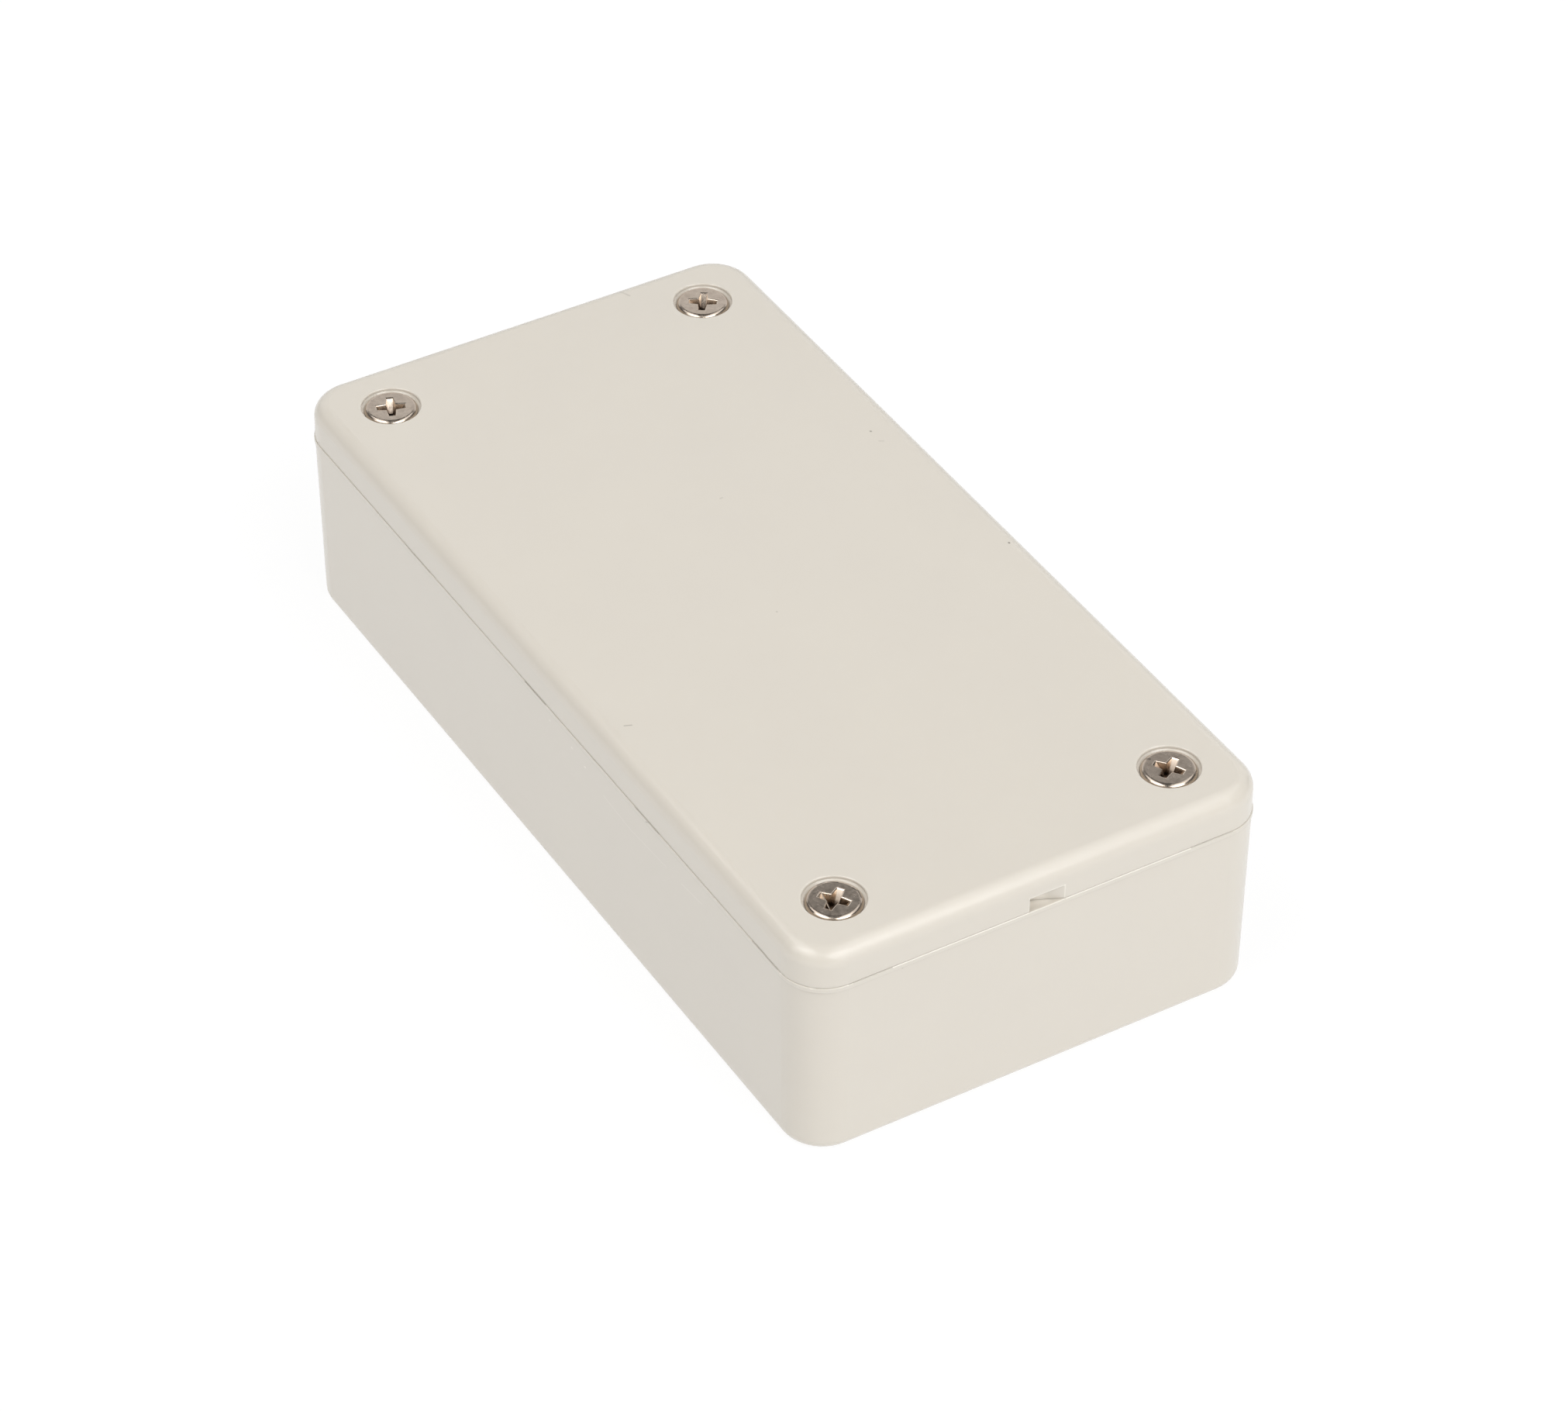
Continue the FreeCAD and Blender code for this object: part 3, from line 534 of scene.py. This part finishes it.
def crease_flat_top(mesh):
    """A crease round the flat top face, so that its shading stays flat right up to the rounds beside it."""
    sharp = mesh.attributes.get("sharp_edge") or mesh.attributes.new("sharp_edge", "BOOLEAN", "EDGE")
    facing_up = [0] * len(mesh.edges)
    for face in mesh.polygons:
        if face.normal.z > STRAIGHT_UP:
            for loop in face.loop_indices:
                facing_up[mesh.loops[loop].edge_index] += 1
    for edge, count in enumerate(facing_up):
        if count == 1:
            sharp.data[edge].value = True


def count_faces(mesh):
    """How many faces meet at each edge; a closed shell has two everywhere."""
    used = [0] * len(mesh.edges)
    for loop in mesh.loops:
        used[loop.edge_index] += 1
    return used

# %% [markdown]
# The tree is put on an empty seed object as a modifier, and its inputs are set by their identifiers before
# Blender works it out. The finished mesh is then taken from the evaluated object, and the seed goes with its
# modifier. A count of open edges shows whether the shell is closed.

# %% Bake a part
def bake_part(name, tree, values, place, crisp):
    """One mesh from the tree at its place, with its own values. Edges past crisp degrees stay sharp."""
    seed = put_in_scene(name + "_seed", bpy.data.meshes.new(name + "_seed"))
    modifier = seed.modifiers.new("part", "NODES")
    modifier.node_group = tree
    for label, value in values.items():
        modifier[tree.interface.items_tree[label].identifier] = value
    depsgraph = bpy.context.evaluated_depsgraph_get()
    mesh = bpy.data.meshes.new_from_object(seed.evaluated_get(depsgraph), depsgraph=depsgraph)
    bpy.data.objects.remove(seed)
    solid = bmesh.new()
    solid.from_mesh(mesh)
    bmesh.ops.recalc_face_normals(solid, faces=solid.faces)
    solid.to_mesh(mesh)
    solid.free()
    mesh.name = name
    mesh.transform(Matrix.Translation(place))
    mesh.shade_smooth()
    mesh.set_sharp_from_angle(angle=math.radians(crisp))
    crease_flat_top(mesh)
    open_edges = sum(1 for count in count_faces(mesh) if count != 2)
    print(f"{name}: {len(mesh.polygons)} faces, {open_edges} open edges")
    return put_in_scene(name, mesh)

# %% [markdown]
# ## Metal finishes
#
# The screws are nickel-plated steel, a little yellow and dulled by handling. The plate mirrors the overhead
# panels in the rounded rim and the dark gap between them, and that contrast is what makes it read as metal.
# Tarnish lies on it in faint clouds of about a millimetre, and its gloss changes from place to place,
# because no plated head is evenly bright. Down in the cross, where drivers have bitten, the surface is
# dented, and dark brown painted shade is laid in, darker the deeper it lies. A mesh attribute called recess
# says how deep in the cross each point lies, and the material turns that into painted shade and dents. The
# inserts have no such attribute, so it reads 0 there. They are turned from brass bar and get the same
# treatment in brass colours. A metal keeps Blender's default IOR, since its colour already says how it
# reflects.

# %% Metal material
TARNISH_CLOUD = 1.3 * MM
RUB_MARK = 0.4 * MM
RUB_DEPTH = 0.05 * MM
RECESS_SHADE_COVER = 0.9
DENT_GROWTH = 4.0


def handled_metal(name, colour, tarnish, roughness, dark_marks_and_shade=()):
    """Dulled metal: tarnish in clouds, painted shade deep in the cross, then the marks, over an uneven
    gloss.
    """
    material, tree = new_material(name)
    place = add_node(tree, "ShaderNodeTexCoord").outputs["Object"]
    cloud = add_node(tree, "ShaderNodeTexNoise", {
        "Vector": place, "Scale": 1 / TARNISH_CLOUD, "Detail": 5.0})
    film = add_node(tree, "ShaderNodeMapRange", {
        "Value": cloud.outputs[0], "From Min": 0.35, "From Max": 0.75, "To Min": 0.0, "To Max": 0.45})
    tone = add_node(tree, "ShaderNodeMix", {
        "Factor": film.outputs[0], "A": linear(colour), "B": linear(tarnish)}, data_type="RGBA")
    recess = add_node(tree, "ShaderNodeAttribute", attribute_name="recess").outputs["Fac"]
    # Painted shade: the colour turns dark brown with depth in the cross recess, where shade falls.
    recess_shade = add_node(tree, "ShaderNodeMath", {0: recess, 1: RECESS_SHADE_COVER}, operation="MULTIPLY")
    shade = add_node(tree, "ShaderNodeMix", {
        "Factor": recess_shade.outputs[0], "A": tone.outputs["Result"], "B": linear("54463a")},
        data_type="RGBA").outputs["Result"]
    # Dark marks: driver scuffs, and on one head a painted shade line along its far edge.
    if dark_marks_and_shade:
        shade = add_node(tree, "ShaderNodeMix", {
            "Factor": draw_marks(tree, place, dark_marks_and_shade), "A": shade, "B": linear("2a241e")},
            data_type="RGBA").outputs["Result"]
    rubbed = add_node(tree, "ShaderNodeTexNoise", {"Vector": place, "Scale": 1 / RUB_MARK, "Detail": 4.0})
    gloss = add_node(tree, "ShaderNodeMapRange", {
        "Value": rubbed.outputs[0], "From Min": 0.3, "From Max": 0.7,
        "To Min": roughness * 0.75, "To Max": roughness * 1.35})
    dents = add_node(tree, "ShaderNodeMath", {
        0: recess, 1: DENT_GROWTH, 2: 1.0}, operation="MULTIPLY_ADD")
    height = add_node(tree, "ShaderNodeMath", {
        0: rubbed.outputs[0], 1: dents.outputs[0]}, operation="MULTIPLY")
    relief = add_node(tree, "ShaderNodeBump", {
        "Height": height.outputs[0], "Strength": 0.08, "Distance": RUB_DEPTH})
    metal = add_node(tree, "ShaderNodeBsdfPrincipled", {
        "Base Color": shade, "Metallic": 1.0, "Roughness": gloss.outputs[0], "Normal": relief.outputs[0]})
    add_node(tree, "ShaderNodeOutputMaterial", {"Surface": metal.outputs[0]})
    print(name, "nodes:", len(tree.nodes))
    return material

# %% [markdown]
# Two heads show dark scuffs from a driver that slipped. On one head, a dark arc along the head's far edge is
# painted shade instead, the shade in the gap between the head and the recess wall. They are marks like those
# on the plastic. Each one is given by its place along and across the box and its depth below the head's
# face.

# %% Nickel and brass
HEAD_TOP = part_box("lid_screw_1")[1].z
# Start and end as (x, y, depth) and width, in millimetres, and strength.
DRIVER_SCUFFS_AND_GAP_SHADE = [
    ((42.71, -15.86, 0), (43.34, -15.65, 0.03), 0.10, 0.95),
    ((43.34, -15.65, 0.03), (44.20, -15.84, 0.045), 0.10, 0.95),
    # Painted shade: these two follow the dark gap between the head's far edge and the recess wall.
    ((40.80, -18.45, 0.02), (40.72, -17.45, 0.06), 0.11, 0.85),
    ((40.72, -17.45, 0.06), (41.44, -16.62, 0), 0.10, 0.85),
    ((41.05, 16.95, 0.1), (41.22, 17.15, 0.05), 0.28, 0.55),
]


def below_head(point):
    """A point in metres from its x, its y and its depth below the head's face in millimetres."""
    x, y, depth = point
    return Vector((x * MM, y * MM, HEAD_TOP - depth * MM))


head_scuffs_and_shade = [(below_head(start), below_head(end), width * MM, strength)
               for start, end, width, strength in DRIVER_SCUFFS_AND_GAP_SHADE]
nickel = handled_metal("dulled_nickel_plate", "d8cabb", "bdab9c", 0.21, head_scuffs_and_shade)
brass = handled_metal("turned_brass", "d3ab60", "a98446", 0.24)

# %% [markdown]
# ## Machine screws
#
# The screws are countersunk M3 machine screws, 10 mm long, with a cross recess punched in the head. The
# head's rim is rolled round, and it is this round that catches the overhead panels. A blank without cross
# or thread is spun first, from the profile of its head, its cone and its core. Heights are measured from
# the head's flat top.

# %% Screw blank
ON_AXIS = 0.0
FACE = 0.0
CRISP = 0.0
screw_tree, screw_size = start_tree("machine_screw", {
    "Head Radius": 2.7 * MM, "Rim Round": 0.45 * MM, "Rim Level": -0.45 * MM, "Core Radius": 1.2 * MM,
    "Cone Level": -1.95 * MM, "Tip Radius": 0.8 * MM, "Shoulder Level": -9.6 * MM, "Tip Level": -10 * MM,
    "Thread Length": 7.65 * MM, "Thread Turns": 15.3, "Thread Ridge": 0.25 * MM, "Cross Turn": 0.0,
    "Material": nickel})
blank = spin_profile(screw_tree, [
    (ON_AXIS, FACE, CRISP),
    (screw_size["Head Radius"], FACE, screw_size["Rim Round"]),
    (screw_size["Head Radius"], screw_size["Rim Level"], CRISP),
    (screw_size["Core Radius"], screw_size["Cone Level"], CRISP),
    (screw_size["Core Radius"], screw_size["Shoulder Level"], CRISP),
    (screw_size["Tip Radius"], screw_size["Tip Level"], CRISP),
    (ON_AXIS, screw_size["Tip Level"], CRISP),
])

# %% [markdown]
# The cross is cut by two wedges that narrow towards the bottom. Each wedge flares at the top, which gives
# the recess the soft lip that a driver's bit leaves, and that lip shows as the white glints along its edges.
# A bevel on the cut edges would need them to be found first, so the lip is part of the wedge instead. The
# wedge is a box with a few levels. Each has its own depth, length and width, and all shrink with depth. The
# levels near the top follow a quarter circle outwards. The box has a middle column as well as its two ends,
# and it is wider there, as a driver's tip is at its root.

# %% Levels of the cross recess
CROSS_DEPTH = 1.25 * MM
ARM_REACH = 1.5
ARM_TAPER = 1.0
WIDTH_TAPER = 0.38
ARM_TIP_HALF = 0.32 * MM
ARM_ROOT_HALF = 0.52 * MM
LIP_ROUND = 0.12 * MM
LIP_STEPS = 7
LIP_SWEEP = 78
MOUTH_FLARE = 2.5 * LIP_ROUND
lip = [math.radians(LIP_SWEEP * step / LIP_STEPS) for step in range(LIP_STEPS + 1)]
depths = [CROSS_DEPTH, *(LIP_ROUND * (1 - math.sin(a)) for a in lip), -LIP_ROUND]
flares = [0.0, *(LIP_ROUND * (1 - math.cos(a)) for a in lip), MOUTH_FLARE]
LEVELS = len(depths)


def wedge_sizes(half_width):
    """Half length and half width of the wedge at each level, from its half width at the head's face."""
    shares = [depth / CROSS_DEPTH for depth in depths]
    return [((ARM_REACH - ARM_TAPER * share) * MM + flare,
             half_width * (1 - WIDTH_TAPER * share) + flare, 0.0) for share, flare in zip(shares, flares)]


arm_sizes = wedge_sizes(ARM_TIP_HALF) + wedge_sizes(ARM_ROOT_HALF)
print("cross recess levels:", LEVELS)

# %% [markdown]
# Every corner of the box knows its level and whether it is in the middle column, and that makes the number
# by which it picks its size. The wedge is then turned twice, by the screw's own turn and a quarter more, and
# a boolean cuts both out of the head. The exact solver leaves clean edges at the lip.

# %% Cross cutter
box = add_node(screw_tree, "GeometryNodeMeshCube", {
    "Size": (2, 2, LEVELS - 1), "Vertices X": 3, "Vertices Y": 2, "Vertices Z": LEVELS})
box_place = add_node(screw_tree, "GeometryNodeInputPosition").outputs[0]
corner = add_node(screw_tree, "ShaderNodeSeparateXYZ", {0: box_place})
level = add_node(screw_tree, "ShaderNodeMath", {
    0: corner.outputs["Z"], 1: (LEVELS - 1) / 2}, operation="ADD")
middle = add_node(screw_tree, "ShaderNodeMath", {
    0: corner.outputs["X"], 1: 0.0, 2: 0.5}, operation="COMPARE")
number = add_node(screw_tree, "ShaderNodeMath", {
    0: middle.outputs[0], 1: float(LEVELS), 2: level.outputs[0]}, operation="MULTIPLY_ADD")
size_number = add_node(screw_tree, "ShaderNodeMath", {0: number.outputs[0]}, operation="ROUND").outputs[0]
wedge_size = pick(screw_tree, size_number, arm_sizes, "VECTOR")
wedge_drop = pick(screw_tree, size_number, [(0.0, 0.0, -depth) for depth in depths] * 2, "VECTOR")
shaped = add_node(screw_tree, "ShaderNodeVectorMath", {
    0: box_place, 1: wedge_size, 2: wedge_drop}, operation="MULTIPLY_ADD")
wedge = add_node(screw_tree, "GeometryNodeSetPosition", {
    "Geometry": box.outputs[0], "Position": shaped.outputs[0]})
faceted = add_node(screw_tree, "GeometryNodeTriangulate", {0: wedge.outputs[0]})
cut = add_node(screw_tree, "GeometryNodeMeshBoolean", {
    "Mesh 1": blank}, operation="DIFFERENCE", solver="EXACT")
for quarter in (0.0, math.pi / 2):
    turn = add_node(screw_tree, "ShaderNodeMath", {
        0: screw_size["Cross Turn"], 1: quarter}, operation="ADD")
    axis = add_node(screw_tree, "ShaderNodeCombineXYZ", {2: turn.outputs[0]})
    turned = add_node(screw_tree, "GeometryNodeTransform", {
        "Geometry": faceted.outputs[0], "Rotation": axis.outputs[0]})
    screw_tree.links.new(turned.outputs[0], cut.inputs["Mesh 2"])
print("wedge sizes to pick from:", len(arm_sizes))

# %% [markdown]
# The metal has to know where the cross is, for its painted shade and its dents. The material could work it
# out from a depth below the head, but then it would paint shade on the cone under the head as well. So the
# mesh carries an attribute, recess: 0 at the lip, growing to 1 near the bottom of the cross, and 0
# everywhere outside it.

# %% Recess attribute
CROSS_RADIUS = 1.7 * MM
CROSS_FLOOR = -1.27 * MM
SHADE_AND_DENT_LEVEL = -0.9 * MM
head_place = add_node(screw_tree, "GeometryNodeInputPosition").outputs[0]
below = add_node(screw_tree, "ShaderNodeSeparateXYZ", {0: head_place}).outputs["Z"]
sideways = add_node(screw_tree, "ShaderNodeVectorMath", {
    0: head_place, 1: (1.0, 1.0, 0.0)}, operation="MULTIPLY")
from_axis = add_node(screw_tree, "ShaderNodeVectorMath", {0: sideways.outputs[0]}, operation="LENGTH")
in_cross = add_node(screw_tree, "ShaderNodeMath", {
    0: from_axis.outputs["Value"], 1: CROSS_RADIUS}, operation="LESS_THAN")
in_head = add_node(screw_tree, "ShaderNodeMath", {0: below, 1: CROSS_FLOOR}, operation="GREATER_THAN")
inside = add_node(screw_tree, "ShaderNodeMath", {
    0: in_cross.outputs[0], 1: in_head.outputs[0]}, operation="MULTIPLY")
sunk = add_node(screw_tree, "ShaderNodeMapRange", {
    "Value": below, "From Min": -LIP_ROUND, "From Max": SHADE_AND_DENT_LEVEL, "To Min": 0.0, "To Max": 1.0})
depth_share = add_node(screw_tree, "ShaderNodeMath", {
    0: sunk.outputs[0], 1: inside.outputs[0]}, operation="MULTIPLY")
punched = add_node(screw_tree, "GeometryNodeStoreNamedAttribute", {
    "Geometry": cut.outputs[0], "Name": "recess", "Value": depth_share.outputs[0]},
    data_type="FLOAT", domain="POINT")
print("attribute stored on each", punched.domain.lower())

# %% [markdown]
# The thread shows when a screw is drawn out. It could be a bump in the material, but then its outline would
# stay smooth. So it is a real helix of 0.5 mm pitch: a kite-shaped section swept along a spiral, over the
# thinner core.

# %% Thread
STEPS_PER_TURN = 40
KITE_CORNERS = 4
RIDGE_SQUASH = 0.9
spiral = add_node(screw_tree, "GeometryNodeCurveSpiral", {
    "Resolution": STEPS_PER_TURN, "Rotations": screw_size["Thread Turns"],
    "Start Radius": screw_size["Core Radius"], "End Radius": screw_size["Core Radius"],
    "Height": screw_size["Thread Length"]})
upright = add_node(screw_tree, "GeometryNodeSetCurveNormal", {"Curve": spiral.outputs[0]}, mode="Z_UP")
kite = add_node(screw_tree, "GeometryNodeCurvePrimitiveCircle", {
    "Resolution": KITE_CORNERS, "Radius": screw_size["Thread Ridge"]}, mode="RADIUS")
crest = add_node(screw_tree, "GeometryNodeTransform", {
    "Geometry": kite.outputs[0], "Scale": (1.0, RIDGE_SQUASH, 1.0)})
ridge = add_node(screw_tree, "GeometryNodeCurveToMesh", {
    "Curve": upright.outputs[0], "Profile Curve": crest.outputs[0], "Fill Caps": True})
foot = add_node(screw_tree, "ShaderNodeCombineXYZ", {2: screw_size["Shoulder Level"]})
hung = add_node(screw_tree, "GeometryNodeTransform", {
    "Geometry": ridge.outputs[0], "Translation": foot.outputs[0]})
screw = add_node(screw_tree, "GeometryNodeJoinGeometry")
for piece in (punched.outputs[0], hung.outputs[0]):
    screw_tree.links.new(piece, screw.inputs[0])
close_tree(screw_tree, screw.outputs[0], screw_size["Material"])

# %% [markdown]
# One tree now makes all four screws. Each stands where its packed screw stands, and only the turn of its
# cross is its own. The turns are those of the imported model. Each new screw rides on its own body and takes
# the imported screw's place.

# %% The four screws
CROSS_TURNS = {1: 36.4, 2: 33.3, 3: 68.3, 4: 55.2}
CRISP_SCREW = 16
for number, degrees in CROSS_TURNS.items():
    node = f"lid_screw_{number}"
    low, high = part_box(node)
    place = Vector(((low.x + high.x) / 2, (low.y + high.y) / 2, HEAD_TOP))
    screw_part = bake_part(f"machine_screw_{number}", screw_tree, {
        "Cross Turn": math.radians(degrees), "Material": nickel}, place, crisp=CRISP_SCREW)
    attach(screw_part, f"screw_{number}")
    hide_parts(node)

# %% [markdown]
# ## A burr on the near screw
#
# One screw has a burr: a driver that slipped has torn a thin sliver of the head's face between two arms of
# its cross. Torn steel is brighter and rougher than plate, so it has a finish of its own. The sliver has
# just nine corners, too few for a node tree to be worth it. So it is built point by point in mesh code:
# three rings of three corners, narrow at the ends, joined and capped. It stands just proud of the face, and
# it glints.

# %% Burr on the near screw
# Each station is x, y and half the sliver's width there, in millimetres.
BURR_STATIONS = ((41.72, -18.62, 0.03), (43.02, -18.86, 0.065), (44.24, -19.16, 0.03))
BURR_SECTION = ((0.2, -1, -0.8), (-0.2, 1, -0.8), (0, 0, 0.9))
BURR_LIFT = 0.03 * MM
torn_steel = handled_metal("torn_bright_steel", "f1ebe2", "dcd2c6", 0.5)
burr_mesh = bmesh.new()
rings = []
for x, y, half_width in BURR_STATIONS:
    middle_point = Vector((x * MM, y * MM, HEAD_TOP + BURR_LIFT))
    rings.append([burr_mesh.verts.new(middle_point + Vector(step) * (half_width * MM))
                  for step in BURR_SECTION])
for first, second in zip(rings, rings[1:]):
    for side in range(3):
        following = (side + 1) % 3
        burr_mesh.faces.new((first[side], first[following], second[following], second[side]))
burr_mesh.faces.new(rings[0])
burr_mesh.faces.new(rings[-1])
bmesh.ops.recalc_face_normals(burr_mesh, faces=burr_mesh.faces)
burr_data = bpy.data.meshes.new("driver_burr")
burr_mesh.to_mesh(burr_data)
burr_mesh.free()
burr_data.materials.append(torn_steel)
burr = put_in_scene("driver_burr", burr_data)
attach(burr, "screw_1")
print("burr faces:", len(burr_data.polygons))

# %% [markdown]
# ## Brass inserts
#
# The screws turn into brass inserts that are pressed into the base's corner pillars. They show when the lid
# is lifted. Two bands round each insert are knurled so that the plastic holds them, with a groove between.
# The same spinning nodes make the ring. Its bore has teeth at the pitch of the thread. They are rings and
# not a helix, because only the topmost one can be seen.

# %% Insert tree
THREAD_PITCH = 0.5 * MM
CREST_RADIUS = 1.5 * MM
ROOT_RADIUS = 1.62 * MM
INSERT_LENGTH = 5.0 * MM
UPPER_BAND = (-0.2 * MM, -1.8 * MM)
GROOVE = (-1.9 * MM, -3.1 * MM)
LOWER_BAND = (-3.2 * MM, -4.7 * MM)
insert_tree, insert_size = start_tree("brass_insert", {
    "Band Radius": 2.2 * MM, "Groove Radius": 1.95 * MM, "Lead Radius": 2.0 * MM,
    "Knurl": 0.045 * MM, "Knurl Teeth": 24.0, "Material": brass})
half_teeth = int(round(INSERT_LENGTH / THREAD_PITCH * 2))
bore = [(CREST_RADIUS if step % 2 == 0 else ROOT_RADIUS, -INSERT_LENGTH + step * THREAD_PITCH / 2, CRISP)
        for step in range(half_teeth + 1)]
ring = spin_profile(insert_tree, [
    *bore,
    (insert_size["Lead Radius"], FACE, CRISP),
    *((insert_size["Band Radius"], height, CRISP) for height in UPPER_BAND),
    *((insert_size["Groove Radius"], height, CRISP) for height in GROOVE),
    *((insert_size["Band Radius"], height, CRISP) for height in LOWER_BAND),
    (insert_size["Lead Radius"], -INSERT_LENGTH, CRISP),
    bore[0],
])

# %% [markdown]
# The knurl is a push outwards that repeats round the axis: a cosine of the angle, let through only where the
# surface is a band. Separate teeth set round the ring would do as well, but they would have to be joined to
# it without a gap.

# %% Knurl
BAND_FLOOR = 2.1 * MM
ring_place = add_node(insert_tree, "GeometryNodeInputPosition").outputs[0]
outward = add_node(insert_tree, "ShaderNodeVectorMath", {
    0: ring_place, 1: (1.0, 1.0, 0.0)}, operation="MULTIPLY")
distance = add_node(insert_tree, "ShaderNodeVectorMath", {0: outward.outputs[0]}, operation="LENGTH")
on_band = add_node(insert_tree, "ShaderNodeMath", {
    0: distance.outputs["Value"], 1: BAND_FLOOR}, operation="GREATER_THAN")
parts = add_node(insert_tree, "ShaderNodeSeparateXYZ", {0: ring_place})
angle = add_node(insert_tree, "ShaderNodeMath", {
    0: parts.outputs["Y"], 1: parts.outputs["X"]}, operation="ARCTAN2")
repeated = add_node(insert_tree, "ShaderNodeMath", {
    0: angle.outputs[0], 1: insert_size["Knurl Teeth"]}, operation="MULTIPLY")
tooth = add_node(insert_tree, "ShaderNodeMath", {0: repeated.outputs[0]}, operation="COSINE")
push = add_node(insert_tree, "ShaderNodeMath", {
    0: tooth.outputs[0], 1: insert_size["Knurl"]}, operation="MULTIPLY")
radial = add_node(insert_tree, "ShaderNodeVectorMath", {0: outward.outputs[0]}, operation="NORMALIZE")
shift = add_node(insert_tree, "ShaderNodeVectorMath", {
    0: radial.outputs[0], "Scale": push.outputs[0]}, operation="SCALE")
knurled = add_node(insert_tree, "GeometryNodeSetPosition", {
    "Geometry": ring, "Selection": on_band.outputs[0], "Offset": shift.outputs[0]})
close_tree(insert_tree, knurled.outputs[0], insert_size["Material"])

# %% [markdown]
# The four inserts are alike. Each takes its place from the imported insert, with its face at the top of the
# pillar, and rides on the base.

# %% The four inserts
CRISP_INSERT = 30
for number in range(1, 5):
    node = f"thread_insert_{number}"
    low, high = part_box(node)
    place = Vector(((low.x + high.x) / 2, (low.y + high.y) / 2, high.z))
    insert_part = bake_part(f"knurled_insert_{number}", insert_tree, {
        "Material": brass}, place, crisp=CRISP_INSERT)
    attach(insert_part, "base")
    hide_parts(node)
